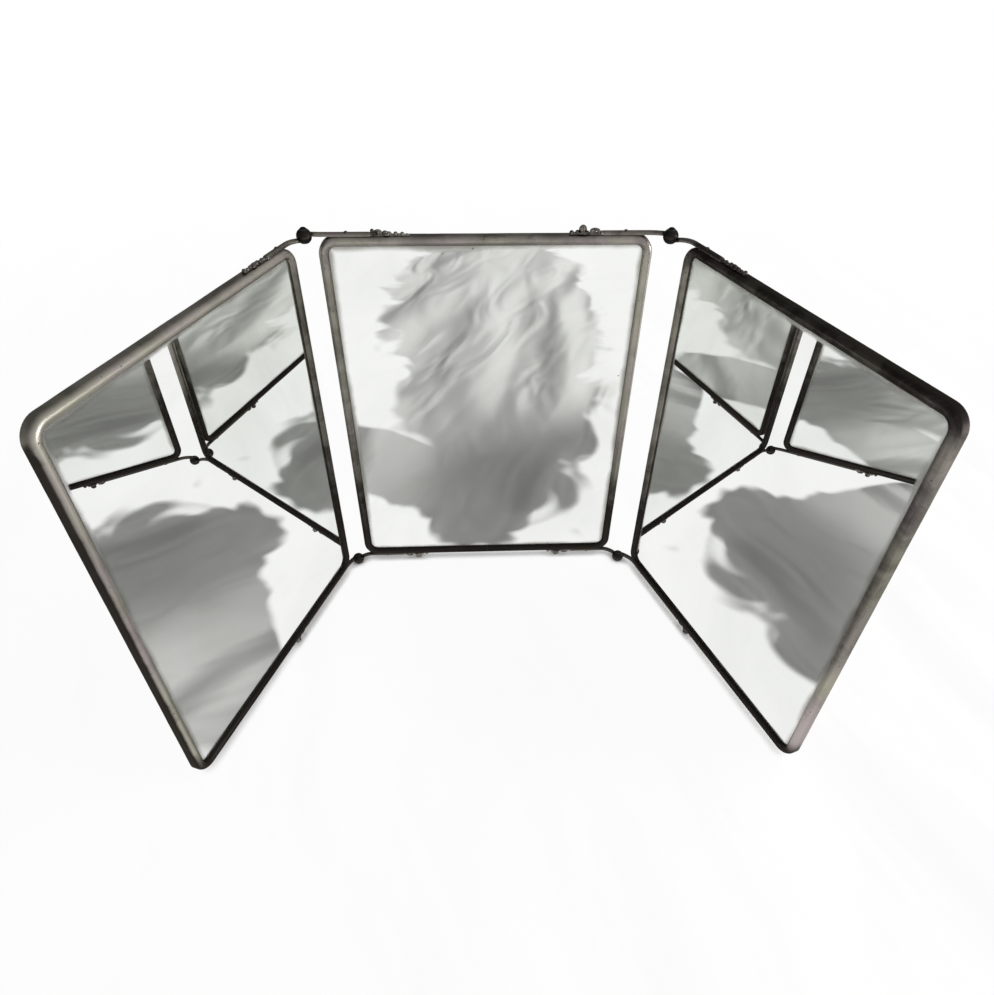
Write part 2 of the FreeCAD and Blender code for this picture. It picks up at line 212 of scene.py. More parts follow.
def use_group(tree, group, **inputs):
    """Place a group in a material with its own values."""
    return add_node(tree, "ShaderNodeGroup", {"node_tree": group}, **inputs)


def new_material(name):
    """An empty material: returns it, its tree and its Principled shader."""
    material = bpy.data.materials.new(name)
    material.use_nodes = True
    return material, material.node_tree, material.node_tree.nodes["Principled BSDF"]


print("a Mix node's colour result is output", MIX_RESULT)

# %% [markdown]
# ## Tarnish
# Nickel plate doesn't rust.  It dulls in soft blotches, goes olive or purple
# where hands have been, and gets small dark pits where the plate is broken.
# The group makes each of these as a separate mask from noise at its own
# scale, so that a finish can use as much of each as it needs.  The scales
# below count cells in a metre, so a blotch is about 18 mm wide.

# %% Tarnish group
BLOTCHES = 55.0
TINTS = 14.0
PITS = 420.0
PIT_PATCHES = 120.0
GRAINS = 900.0
CLEAN_TO_BLOTCH = (0.38, 0.66)
WARM_TO_PLUM = (0.34, 0.66)
CELL_TO_PIT = (0.22, 0.08)
SOUND_TO_PITTED = (0.54, 0.66)


def make_tarnish_group():
    tree, source, sink = new_group("tarnish", {"Scale": 1.0}, ("Blotch", "Tint", "Pits", "Grain"))
    scaled = add_node(tree, "ShaderNodeVectorMath", {"operation": "SCALE"},
                      Vector=object_point(tree), Scale=source.outputs["Scale"]).outputs[0]
    blotch = add_noise(tree, scaled, BLOTCHES, 6.0, 0.62, 0.6)
    tint = add_noise(tree, scaled, TINTS, 3.0, 0.5, 1.2)
    pits = add_node(tree, "ShaderNodeTexVoronoi", Vector=scaled, Scale=PITS,
                    Randomness=1.0).outputs["Distance"]
    where = add_noise(tree, scaled, PIT_PATCHES, 2.0)
    grain = add_noise(tree, scaled, GRAINS, 4.0, 0.7)
    few = calculate(tree, "MULTIPLY", remap(tree, pits, *CELL_TO_PIT),
                    remap(tree, where, *SOUND_TO_PITTED))
    feed(tree, sink.inputs["Blotch"], remap(tree, blotch, *CLEAN_TO_BLOTCH))
    feed(tree, sink.inputs["Tint"], remap(tree, tint, *WARM_TO_PLUM))
    feed(tree, sink.inputs["Pits"], few)
    feed(tree, sink.inputs["Grain"], grain)
    return tree


TARNISH = make_tarnish_group()
print("group:", TARNISH.name)

# %% [markdown]
# ## Grime, painted shade and rubbed edges
# Dirt stays where a cloth can't reach, and plate goes first where a cloth
# always rubs.  Ambient occlusion finds the first places, and the darkening
# there is painted shade as well as dirt.  The Bevel node finds the second:
# where the rounded normal leaves the true one, the surface has an edge.  On a
# dense skin, such as a casting, pointiness finds the crests as well, which
# the Bevel node is too small for; the lighter colour that the castings' crests
# get from it is a painted highlight as well as rubbed metal.

# %% Wear group
OPEN_TO_HIDDEN = (0.85, 0.35)
FLAT_TO_EDGE = (0.995, 0.90)
EVEN_TO_CREST = (0.505, 0.56)


def make_wear_group():
    tree, source, sink = new_group("grime_shade_and_rub", {"Reach": 0.002, "Edge": 0.0004},
                                   ("Grime_and_shade", "Rub", "Crest"))
    occlusion = add_node(tree, "ShaderNodeAmbientOcclusion", {"samples": 8},
                         Distance=source.outputs["Reach"]).outputs["AO"]
    rounded = add_node(tree, "ShaderNodeBevel", {"samples": 6},
                       Radius=source.outputs["Edge"]).outputs[0]
    surface = add_node(tree, "ShaderNodeNewGeometry").outputs
    dot = add_node(tree, "ShaderNodeVectorMath", {"operation": "DOT_PRODUCT"})
    feed(tree, dot.inputs[0], rounded)
    feed(tree, dot.inputs[1], surface["Normal"])
    feed(tree, sink.inputs["Crest"], remap(tree, surface["Pointiness"], *EVEN_TO_CREST))
    # painted shade as well as dirt: darker where ambient occlusion finds hidden corners
    feed(tree, sink.inputs["Grime_and_shade"], remap(tree, occlusion, *OPEN_TO_HIDDEN))
    feed(tree, sink.inputs["Rub"], remap(tree, dot.outputs["Value"], *FLAT_TO_EDGE))
    return tree


WEAR = make_wear_group()
print("group:", WEAR.name)

# %% [markdown]
# ## Lines from polishing
# A century of rubbing along the rails leaves fine lines in one direction.  On
# the frames they follow the strip round its corners, so they are noise on the
# strip's own two measures, along and across, and not on its place in space:
# drawn out long one way and very fine the other.

# %% Polish group
LINES_ALONG_AND_ACROSS = (30.0, 2600.0)
SCRATCHES_ALONG_AND_ACROSS = (75.0, 900.0)
FEW_SCRATCHES = (0.62, 0.72)


def read_layer(tree, name):
    """A number that the mesh holds at each of its points."""
    return add_node(tree, "ShaderNodeAttribute", {"attribute_name": name}).outputs["Fac"]


def make_polish_group():
    tree, source, sink = new_group("polish_lines", {"Fineness": 1.0}, ("Lines", "Scratch"))
    along = read_layer(tree, "along")
    across = read_layer(tree, "across")
    fine = calculate(tree, "MULTIPLY", across, source.outputs["Fineness"])

    def drawn_out(cells):
        return add_node(tree, "ShaderNodeCombineXYZ",
                        X=calculate(tree, "MULTIPLY", along, cells[0]),
                        Y=calculate(tree, "MULTIPLY", fine, cells[1])).outputs[0]

    lines = add_noise(tree, drawn_out(LINES_ALONG_AND_ACROSS), 1.0, 3.0, 0.6)
    scratch = add_noise(tree, drawn_out(SCRATCHES_ALONG_AND_ACROSS), 1.0, 2.0, distortion=0.4)
    feed(tree, sink.inputs["Lines"], lines)
    feed(tree, sink.inputs["Scratch"], remap(tree, scratch, *FEW_SCRATCHES))
    return tree


POLISH = make_polish_group()
print("group:", POLISH.name)

# %% [markdown]
# ## Tarnished metal
# Frames, hinges, rivets and castings are all nickel on brass, in different
# states.  One function makes the finish: a clean and a dull metal colour, a
# tint that drifts between olive and purple, pits, grime and painted shade in
# the corners, and warm brass on rubbed edges, and on the castings' crests,
# where it is also a painted highlight.  The numbers say how far each part has
# gone.  The frames also bring their patina and painted shade as an attribute,
# and the polish lines.  Clean metal turns bright where it is seen at a low
# angle.  Tarnish hardly does, so Specular Tint takes half of that away.

# %% Hinge grease and painted shade
HINGE_REACH = (0.0062, 0.0046)
ARM_BEND_REACH = (0.012, 0.018)
FLOOR_SHADE_HEIGHT = (0.05, 0.015)
FLOOR_SHADE_DARK = 0.8
BEND_DARK = 0.85


def hinge_grease_and_shade(tree, sooted_and_shaded):
    """Where oil has blackened the plate round the hinges, with painted shade
    there and near the table.

    A sooted leaf is black beyond the bend of its arm too, soot and painted shade.
    """
    point = object_point(tree)
    flat = add_node(tree, "ShaderNodeVectorMath", {"operation": "MULTIPLY"}, Vector=point)
    flat.inputs[1].default_value = (1, 1, 0)
    nearest = 1.0
    for joint in joints.values():
        axis = add_node(tree, "ShaderNodeVectorMath", {"operation": "DISTANCE"},
                        Vector=flat.outputs[0])
        axis.inputs[1].default_value = (joint["pos_m"][0], joint["pos_m"][1], 0)
        nearest = calculate(tree, "MINIMUM", axis.outputs["Value"], nearest)
    height = add_node(tree, "ShaderNodeSeparateXYZ", Vector=point).outputs["Z"]
    # painted shade: darker near the table
    low = remap(tree, height, *FLOOR_SHADE_HEIGHT, 0.0, FLOOR_SHADE_DARK)
    oiled_and_shaded = calculate(tree, "MAXIMUM", remap(tree, nearest, *HINGE_REACH), low)
    if sooted_and_shaded:
        beyond = remap(tree, nearest, *ARM_BEND_REACH, 0.0, BEND_DARK)
        oiled_and_shaded = calculate(tree, "MAXIMUM", beyond, oiled_and_shaded)
    return oiled_and_shaded


print("grease round", len(joints), "hinge axes")

# %% [markdown]
# ## One finish, six states
# The function below puts the groups together, from the inside out: plate,
# tint, pits, dirt and painted shade, and last the metal that is rubbed bare.
# Each call then names two metal colours, clean and dull, the colour of rubbed
# metal and of painted crest highlights, the roughness of clean and of dull
# plate, and how much grime and painted shade the corners hold.

# %% Metal finish
NEAR_BLACK = (0.018, 0.016, 0.014, 1)
OLIVE = (1.0, 0.99, 0.87, 1)
WARM = (1.0, 0.96, 0.92, 1)
PLUM = (1.0, 0.91, 0.94, 1)
LOW_ANGLE_TINT = (0.55, 0.54, 0.52, 1)
BLOTCH_SHARE, LINE_SHARE, SCRATCH_SHARE = 0.22, 0.18, 0.10
BRIGHT_TO_BLACK = (0.10, 1.15)
GREASY_BLOTCH, GREASY_LEAST = 0.5, 0.1
BARE_SHARE = 0.7
GRAIN_ROUGHNESS, DIRT_ROUGHNESS = 0.12, 0.3
LINE_HEIGHT, PIT_HEIGHT = 1.4, -1.5
GRAIN_DEPTH = 0.06 * MM
GRIME_AND_SHADE_REACH, EDGE_WIDTH = 2.5 * MM, 0.3 * MM


def tarnished_metal(name, clean, dull, rubbed_and_glint, shine, grime_and_shade_amount, scale=1.0, strip=False,
                    grease_and_shade=False, sooted_and_shaded=False, tint=OLIVE, crest_glint=False):
    """Nickel plate: colours are linear, shine is (clean, dull) roughness."""
    material, tree, shader = new_material(name)
    shader.inputs["Metallic"].default_value = 1.0
    shader.inputs["Specular Tint"].default_value = LOW_ANGLE_TINT
    tarnish = use_group(tree, TARNISH, Scale=scale).outputs
    wear = use_group(tree, WEAR, Reach=GRIME_AND_SHADE_REACH, Edge=EDGE_WIDTH).outputs
    tarnish_and_shade = tarnish["Blotch"]
    grain = tarnish["Grain"]
    if strip:
        polish = use_group(tree, POLISH, Fineness=1.0).outputs
        # the frames' attribute holds painted shade as well as patina
        painted = read_layer(tree, "patina_and_shade")
        uneven = calculate(tree, "MULTIPLY_ADD", tarnish["Blotch"], BLOTCH_SHARE, painted)
        uneven = calculate(tree, "MULTIPLY_ADD", polish["Lines"], LINE_SHARE, uneven)
        uneven = calculate(tree, "MULTIPLY_ADD", polish["Scratch"], SCRATCH_SHARE, uneven)
        tarnish_and_shade = remap(tree, uneven, *BRIGHT_TO_BLACK)
        grain = calculate(tree, "MULTIPLY_ADD", polish["Lines"], LINE_HEIGHT, grain)
    # grease and painted shade round the hinges, and painted shade near the table
    if grease_and_shade:
        tarnish_and_shade = calculate(tree, "MULTIPLY_ADD", tarnish["Blotch"], GREASY_BLOTCH, GREASY_LEAST)
        tarnish_and_shade = calculate(tree, "MAXIMUM", tarnish_and_shade, hinge_grease_and_shade(tree, sooted_and_shaded))
    plate = blend_colours(tree, tarnish_and_shade, (*clean, 1), (*dull, 1))
    drift = blend_colours(tree, tarnish["Tint"], tint, PLUM)
    tinted = blend_colours(tree, 1.0, plate, drift, "MULTIPLY")
    pitted = blend_colours(tree, tarnish["Pits"], tinted, NEAR_BLACK)
    # grime and painted shade: corners that ambient occlusion finds go towards near black
    dirt_and_shade = calculate(tree, "MULTIPLY", wear["Grime_and_shade"], grime_and_shade_amount)
    grimy_and_shaded = blend_colours(tree, dirt_and_shade, pitted, NEAR_BLACK)
    worn = wear["Rub"]
    # painted highlight: on the castings, crests found by pointiness take the light rubbed colour too
    if crest_glint:
        worn = calculate(tree, "MAXIMUM", wear["Rub"], wear["Crest"])
    bare = calculate(tree, "MULTIPLY", worn, calculate(tree, "SUBTRACT", 1.0, dirt_and_shade))
    shown = calculate(tree, "MULTIPLY", bare, BARE_SHARE)
    final = blend_colours(tree, shown, grimy_and_shaded, (*rubbed_and_glint, 1))
    rough = calculate(tree, "MULTIPLY_ADD", tarnish_and_shade, shine[1] - shine[0], shine[0])
    rough = calculate(tree, "MULTIPLY_ADD", tarnish["Grain"], GRAIN_ROUGHNESS, rough)
    rough = calculate(tree, "MULTIPLY_ADD", dirt_and_shade, DIRT_ROUGHNESS, rough)
    height = calculate(tree, "MULTIPLY_ADD", tarnish["Pits"], PIT_HEIGHT, grain)
    bump = add_node(tree, "ShaderNodeBump", Strength=0.35, Distance=GRAIN_DEPTH, Height=height)
    feed(tree, shader.inputs["Base Color"], final)
    feed(tree, shader.inputs["Roughness"], rough)
    feed(tree, shader.inputs["Normal"], bump.outputs[0])
    return material


CHANNEL = tarnished_metal("tarnished_channel", (0.46, 0.445, 0.42), (0.028, 0.025, 0.024),
                          (0.42, 0.37, 0.29), (0.30, 0.40), 0.8, strip=True)
LEAF = tarnished_metal("darkened_leaf", (0.25, 0.24, 0.22), (0.028, 0.026, 0.025),
                       (0.26, 0.23, 0.19), (0.24, 0.36), 0.9, 1.7, grease_and_shade=True)
# a darker copy for the right wing: soot and painted shade
SOOTED_AND_SHADED_LEAF = tarnished_metal("sooted_and_shaded_leaf", (0.25, 0.24, 0.225), (0.030, 0.026, 0.027),
                              (0.22, 0.19, 0.17), (0.24, 0.38), 0.9, 1.7,
                              grease_and_shade=True, sooted_and_shaded=True, tint=WARM)
FIXING = tarnished_metal("worn_fixing", (0.12, 0.11, 0.095), (0.026, 0.024, 0.022),
                         (0.24, 0.20, 0.15), (0.24, 0.36), 0.9, 2.3, grease_and_shade=True)
# the castings' light rubbed colour is also the painted highlight on their crests
CASTING = tarnished_metal("blackened_casting", (0.24, 0.225, 0.205), (0.030, 0.027, 0.026),
                          (0.66, 0.63, 0.57), (0.14, 0.34), 1.0, 2.0, tint=WARM, crest_glint=True)
# the right wing's castings: soot and painted shade in a darker copy
SOOTED_AND_SHADED = tarnished_metal("sooted_and_shaded_casting", (0.10, 0.088, 0.088), (0.022, 0.020, 0.020),
                         (0.26, 0.23, 0.21), (0.22, 0.40), 1.0, 2.0, tint=WARM, crest_glint=True)
METALS = (CHANNEL, LEAF, SOOTED_AND_SHADED_LEAF, FIXING, CASTING, SOOTED_AND_SHADED)
print("metals:", [material.name for material in METALS])

# %% [markdown]
# ## Old mirror glass
# A mirror is a coat of silver behind clear glass.  The silver is the metal
# here, and the Principled shader's coat is the clean front face of the glass.
# Age shows behind it: foxing, which is small brown spots with soft rims, and
# a thin haze.  Both are thickest near the frame, where damp gets in, so the
# material needs to know where the frame is.  A Mapping node takes the object's
# coordinates back to panel coordinates, and the distance to the nearest edge
# follows from those.

# %% Mirror finish
SILVER = (0.93, 0.94, 0.925, 1)
HAZED_SILVER = (0.85, 0.86, 0.84, 1)
LOST_SILVER = (0.20, 0.185, 0.15, 1)
FOX_BROWN = (0.06, 0.045, 0.035, 1)
DAMP_REACH = 20 * MM
RIM_WAVE = 6 * MM
LOST_RIM = (3.5 * MM, -0.5 * MM)
FOX_CELLS = 170.0
SPOT_SIZE = (0.13, 0.04)
SPOT_CHANCE = (0.69, 0.76)
RIM_CHANCE = 0.10
RIM_LOSS = 0.75
HAZE_ROUGHNESS, SPOT_ROUGHNESS = 0.03, 0.3


def edge_distance(tree, local):
    """How far a point of the glass is from the nearest side of the frame."""
    size = add_node(tree, "ShaderNodeVectorMath", {"operation": "ABSOLUTE"},
                    Vector=local).outputs[0]
    parts = add_node(tree, "ShaderNodeSeparateXYZ", Vector=size).outputs
    beside = calculate(tree, "SUBTRACT", SIGHT_HALF_WIDTH, parts["X"])
    above = calculate(tree, "SUBTRACT", SIGHT_HALF_HEIGHT, parts["Z"])
    return calculate(tree, "MINIMUM", beside, above)


def silvered_glass(name, place):
    material, tree, shader = new_material(name)
    shader.inputs["Metallic"].default_value = 1.0
    shader.inputs["Coat Weight"].default_value = 0.6
    shader.inputs["Coat Roughness"].default_value = 0.0
    shader.inputs["Coat IOR"].default_value = 1.5
    back = place.inverted()
    point = object_point(tree)
    local = add_node(tree, "ShaderNodeMapping", Vector=point, Location=back.translation,
                     Rotation=back.to_euler()).outputs[0]
    rim = edge_distance(tree, local)
    spots = add_node(tree, "ShaderNodeTexVoronoi", Vector=point,
                     Scale=FOX_CELLS).outputs["Distance"]
    where = add_noise(tree, point, 35.0, 4.0)
    haze = add_noise(tree, point, 9.0, 5.0, 0.6, 0.8)
    middle = calculate(tree, "ADD", rim, RIM_WAVE / 2)
    wavy_rim = calculate(tree, "MULTIPLY_ADD", where, -RIM_WAVE, middle)
    edge = remap(tree, wavy_rim, *LOST_RIM)
    damp = remap(tree, rim, DAMP_REACH, 0.0)
    chance = calculate(tree, "MULTIPLY_ADD", damp, RIM_CHANCE, where)
    fox = calculate(tree, "MULTIPLY", remap(tree, spots, *SPOT_SIZE),
                    remap(tree, chance, *SPOT_CHANCE))
    silver = blend_colours(tree, remap(tree, haze, 0.35, 0.75), SILVER, HAZED_SILVER)
    lost = calculate(tree, "MULTIPLY", edge, RIM_LOSS)
    dimmed = blend_colours(tree, lost, silver, LOST_SILVER)
    final = blend_colours(tree, fox, dimmed, FOX_BROWN)
    soft = calculate(tree, "MULTIPLY", remap(tree, haze, 0.5, 0.8), HAZE_ROUGHNESS)
    aged = calculate(tree, "MAXIMUM", fox, edge)
    rough = calculate(tree, "MULTIPLY_ADD", aged, SPOT_ROUGHNESS, soft)
    feed(tree, shader.inputs["Base Color"], final)
    feed(tree, shader.inputs["Roughness"], rough)
    return material


GLASSES = {}
for panel, place in PLACES.items():
    GLASSES[panel] = silvered_glass("silvered_glass_" + panel, place)
print("mirrors:", sorted(GLASSES))

# %% [markdown]
# ## Board and card
# The back board is pressed board under a dark grained paper, and the card in
# front of it is plain grey-brown board that nobody sees until the mirror is
# taken apart.  Both are rough and fibrous, so noise stretched over two scales
# is enough.

# %% Board finishes
SCUFF_TURN = (0.0, 0.6, 0.0)
SCUFF_SCALE = (18.0, 18.0, 260.0)


def grained_board(name, base, worn, grain_scale, depth):
    """Paper or card: base and worn are its colours, depth is its grain's."""
    material, tree, shader = new_material(name)
    place = object_point(tree)
    cells = add_node(tree, "ShaderNodeTexVoronoi", {"feature": "DISTANCE_TO_EDGE"}, Vector=place,
                     Scale=grain_scale).outputs["Distance"]
    cloud = add_noise(tree, place, 22.0, 6.0, 0.65)
    drawn = add_node(tree, "ShaderNodeMapping", Vector=place, Rotation=SCUFF_TURN,
                     Scale=SCUFF_SCALE).outputs[0]
    scuff = add_noise(tree, drawn, 1.0, 3.0, distortion=0.3)
    wear = use_group(tree, WEAR, Reach=0.003, Edge=0.0003).outputs
    rub = calculate(tree, "MAXIMUM", remap(tree, cloud, 0.50, 0.70, 0.0, 0.65), wear["Rub"])
    rub = calculate(tree, "MAXIMUM", remap(tree, scuff, 0.64, 0.74, 0.0, 0.5), rub)
    grain = remap(tree, cells, 0.0, 0.22)
    crest = calculate(tree, "MULTIPLY", calculate(tree, "MULTIPLY_ADD", grain, 0.7, 0.3), rub)
    colour = blend_colours(tree, crest, (*base, 1), (*worn, 1))
    valley = calculate(tree, "MULTIPLY_ADD", grain, -0.55, 0.55)
    shaded = blend_colours(tree, valley, colour, NEAR_BLACK)
    # grime and painted shade: corners that ambient occlusion finds go darker
    dirt_and_shade = calculate(tree, "MULTIPLY", wear["Grime_and_shade"], 0.7)
    final = blend_colours(tree, dirt_and_shade, shaded, NEAR_BLACK)
    bump = add_node(tree, "ShaderNodeBump", Strength=0.8, Distance=depth, Height=grain)
    rough = calculate(tree, "MULTIPLY_ADD", cloud, 0.25, 0.42)
    feed(tree, shader.inputs["Base Color"], final)
    feed(tree, shader.inputs["Roughness"], rough)
    feed(tree, shader.inputs["Normal"], bump.outputs[0])
    return material


BOARD = grained_board("grained_paper", (0.060, 0.047, 0.040), (0.20, 0.155, 0.115),
                      620.0, 0.22 * MM)
CARD = grained_board("plain_card", (0.25, 0.19, 0.12), (0.34, 0.27, 0.18),
                     1600.0, 0.05 * MM)
print("boards:", BOARD.name, CARD.name)

# %% [markdown]
# ## Dressing the finished model
# The leaves, pins, rivets, glasses and boards have their right shapes already
# and only need their finish.  It goes into the material slot that each node
# has, and the record says which slot that is.  A glass gets its own panel's
# silver, and one leaf, on the right wing, is sooted and painted in shade
# beyond the bend of its arm.

# %% Dress the nodes
def panel_of(node):
    """The panel that a node belongs to."""
    for panel in ("left_wing", "right_wing"):
        if node.startswith(panel):
            return panel
    return "centre"


FINISH_OF_SLOT = {
    "plated_channel": CHANNEL,
    "hinge_leaf": LEAF,
    "hinge_fixing": FIXING,
    "cast_ornament": CASTING,
    "back_board": BOARD,
    "packing_card": CARD,
}
for subpart in frame["record"]["subparts"]:
    node, slot_name = subpart["node"], subpart["material_slot"]
    finish = GLASSES[panel_of(node)] if slot_name == "mirror_glass" else FINISH_OF_SLOT[slot_name]
    nodes[node].data.materials[0] = finish
# the right upper wing leaf takes the darker copy: soot and painted shade
nodes["right_upper_wing_leaf"].data.materials[0] = SOOTED_AND_SHADED_LEAF

# %% [markdown]
# ## The rolled channel
# The strip is drawn through rollers to its section: a half-round bead in
# front, a flat edge and a lip behind.  It is then bent round the glass, and
# its ends meet in the middle of the bottom.  A curve with a bevel profile
# could make this too.  Extruding an open line step by step is closer to how
# the strip was bent, and each step can write how far along and across the
# strip its points are, which the finish needs.

# %% Section of the strip
BEAD_RADIUS = 2.8 * MM
BEAD_CENTRE_BACK = 0.2 * MM
EDGE_OUT = 5.6 * MM
CHANNEL_BACK = 4.0 * MM
BACK_FILLET = 0.5 * MM
SHEET = 0.7 * MM
BUTT_GAP = 0.04 * MM
BEAD_STEPS = 26
FLAT_BACKS = (1.0, 1.9, 2.8)
LIP_OUTS = (4.4, 3.4, 2.5, 1.6)


def new_strip():
    """An empty bmesh with room for what the finish needs at each point.

    Layers come first: adding one later would lose every point held by name.
    """
    shape = bmesh.new()
    for layer in ("across", "along", "patina_and_shade"):
        shape.verts.layers.float.new(layer)
    return shape


def extrude_point(shape, point, place):
    """Draw the open line on to a new point."""
    made = bmesh.ops.extrude_vert_indiv(shape, verts=[point])
    new_point = made["verts"][0]
    new_point.co = place
    return new_point


def draw_section(shape):
    """The outside of the strip's section, at the middle of the bottom rail.

    The bead is a point spun over the front, and the flat and the lip are
    drawn on from where it ends.
    """
    bottom = -SIGHT_HALF_HEIGHT
    landing = math.asin(BEAD_CENTRE_BACK / BEAD_RADIUS)
    end = BUTT_GAP / 2
    centre = Vector((end, BEAD_CENTRE_BACK, bottom - BEAD_RADIUS))
    rise = Vector((0, -BEAD_RADIUS * math.sin(landing), BEAD_RADIUS * math.cos(landing)))
    first = shape.verts.new(centre + rise)
    bmesh.ops.spin(shape, geom=[first], cent=centre, axis=(1, 0, 0), angle=math.pi - landing,
                   steps=BEAD_STEPS, use_merge=False, use_duplicate=False)
    last = min(shape.verts, key=lambda vert: vert.co.z)
    for back in FLAT_BACKS:
        last = extrude_point(shape, last, Vector((end, back * MM, bottom - EDGE_OUT)))
    corner = extrude_point(shape, last, Vector((end, CHANNEL_BACK, bottom - EDGE_OUT)))
    last = corner
    for out in LIP_OUTS:
        last = extrude_point(shape, last, Vector((end, CHANNEL_BACK, bottom - out * MM)))
    bmesh.ops.bevel(shape, geom=[corner], offset=BACK_FILLET, affect="VERTICES", segments=4,
                    profile=0.5, material=-1)
    return first


def mark_across(shape, first):
    """Write each point's distance across the strip, from the glass outwards."""
    across = shape.verts.layers.float["across"]
    first[across] = 0.0
    done, point, distance = {first}, first, 0.0
    while True:
        ahead = [edge.other_vert(point) for edge in point.link_edges]
        ahead = [vert for vert in ahead if vert not in done]
        if not ahead:
            return distance
        distance += (ahead[0].co - point.co).length
        point = ahead[0]
        point[across] = distance
        done.add(point)


trial = new_strip()
first_point = draw_section(trial)
STRIP_WIDTH = mark_across(trial, first_point)
BEAD_LENGTH = BEAD_RADIUS * (math.pi - math.asin(BEAD_CENTRE_BACK / BEAD_RADIUS))
print("points in the section:", len(trial.verts))
print("strip width:", round(STRIP_WIDTH / MM, 2), "mm")
trial.free()

# %% [markdown]
# ## Bending the strip round the glass
# Each step extrudes the open edge of the strip and moves or turns what is
# new: straight on along a rail, or about the corner's centre.  The whole
# outline is a list of such steps.  Old frames are never quite true, so the
# outside then gets dents of less than a tenth of a millimetre, and solidify
# gives the sheet its thickness inwards.

# %% Steps round a frame
RAIL_STEPS = 28
UPRIGHT_STEPS = 36
CORNER_STEPS = 10
CORNER_X = SIGHT_HALF_WIDTH - SIGHT_CORNER
CORNER_Z = SIGHT_HALF_HEIGHT - SIGHT_CORNER


def outline_steps():
    """The moves round the frame, each with the length of strip it uses."""
    steps = []

    def straight(direction, length, count):
        for _ in range(count):
            steps.append((Matrix.Translation(Vector(direction) * length / count), length / count))

    def corner(x, z):
        centre = Matrix.Translation(Vector((x, 0, z)))
        turn = Matrix.Rotation(math.radians(-90 / CORNER_STEPS), 4, "Y")
        length = (SIGHT_CORNER + BEAD_RADIUS) * math.pi / 2 / CORNER_STEPS
        for _ in range(CORNER_STEPS):
            steps.append((centre @ turn @ centre.inverted(), length))

    straight((1, 0, 0), CORNER_X - BUTT_GAP / 2, RAIL_STEPS // 2)
    corner(CORNER_X, -CORNER_Z)
    straight((0, 0, 1), 2 * CORNER_Z, UPRIGHT_STEPS)
    corner(CORNER_X, CORNER_Z)
    straight((-1, 0, 0), 2 * CORNER_X, RAIL_STEPS)
    corner(-CORNER_X, CORNER_Z)
    straight((0, 0, -1), 2 * CORNER_Z, UPRIGHT_STEPS)
    corner(-CORNER_X, -CORNER_Z)
    straight((1, 0, 0), CORNER_X - BUTT_GAP / 2, RAIL_STEPS // 2)
    return steps


print("steps round the frame:", len(outline_steps()))

# %% [markdown]
# ## Sweep and dents
# The open edge of the strip goes through those steps.  Each new row of points
# gets the length of strip that was used up to it.  Dents are noise, a slow one
# for bends and a quick one for knocks, and fade out next to the glass and at
# the end of the lip, where the sheet has to lie true.

# %% Bend and dent a frame
SLOW_DENTS, SLOW_DEPTH = 45, 0.07 * MM
QUICK_DENTS, QUICK_DEPTH = 160, 0.025 * MM
LIP_FADE = 2 * MM


def bend_strip(shape):
    """Sweep the section round the outline."""
    along = shape.verts.layers.float["along"]
    rim = list(shape.edges)
    distance = 0.0
    for move, length in outline_steps():
        made = bmesh.ops.extrude_edge_only(shape, edges=rim)["geom"]
        points = [item for item in made if isinstance(item, bmesh.types.BMVert)]
        fresh = set(points)
        rim = [item for item in made if isinstance(item, bmesh.types.BMEdge)
               and item.verts[0] in fresh and item.verts[1] in fresh]
        bmesh.ops.transform(shape, matrix=move, verts=points)
        distance += length
        for point in points:
            point[along] = distance
    return distance


def dent(shape, seed):
    """Push the outside in and out a little, but not where it meets the glass."""
    across = shape.verts.layers.float["across"]
    shape.normal_update()
    for point in shape.verts:
        by_glass = min(1.0, point[across] / BEAD_LENGTH * 2)
        by_lip = min(1.0, (STRIP_WIDTH - point[across]) / LIP_FADE)
        free = by_glass * by_lip
        slow = noise.noise(point.co * SLOW_DENTS + Vector((seed, 0, 0)))
        quick = noise.noise(point.co * QUICK_DENTS + Vector((0, seed, 0)))
        point.co += point.normal * free * (SLOW_DEPTH * slow + QUICK_DEPTH * quick)


print("deepest dent:", round((SLOW_DEPTH + QUICK_DEPTH) / MM, 3), "mm")

# %% [markdown]
# ## Patina and painted shade of a frame
# Each frame has its own patina, and painted shade lies over it: the flats,
# the bottom rails and the right wing's top rail are painted darker, almost
# black on the bottom rails and the right wing's top rail, and the uprights
# next to the hinges are black at their feet.  Patina and painted shade are
# therefore painted per point, from 0 for bright plate to 1 for black: for each
# rail its value on the crown, what the flat has more, and what the foot has
# more.  A thin dark line runs along the glass, at the seam.

# %% Paint the patina and painted shade
# patina with painted shade, per rail: crown value, more on the flat, more at the foot
BLACK_RAIL = (1.0, 0, 0)
RAIL_PATINA_AND_SHADE = {
    "centre": {"top": (0.28, 0.22, 0), "bottom": BLACK_RAIL,
               "left": (0.38, 0.80, 0.6), "right": (0.10, 0.2, 0.9)},
    "left_wing": {"top": (0.02, 0.38, 0), "bottom": BLACK_RAIL,
                  "left": (0.12, 1.30, 0.1), "right": (0.6, 0.3, 0.5)},
    "right_wing": {"top": (0.80, 0.15, 0), "bottom": BLACK_RAIL,
                   "left": (0.45, 0.35, 0.5), "right": (0.56, -0.05, -0.6)},
}
CORNER_BLEND = 6 * MM
BOTTOM_RAIL_REACH = 12 * MM
CROWN_TO_FLAT = (BEAD_LENGTH * 0.6, BEAD_LENGTH * 1.02)
SEAM_WIDTH = (0.7 * MM, 0.1 * MM)
SEAM_DARK = 0.4


def smooth_step(value, low, high):
    share = max(0.0, min(1.0, (value - low) / (high - low)))
    return share * share * (3 - 2 * share)


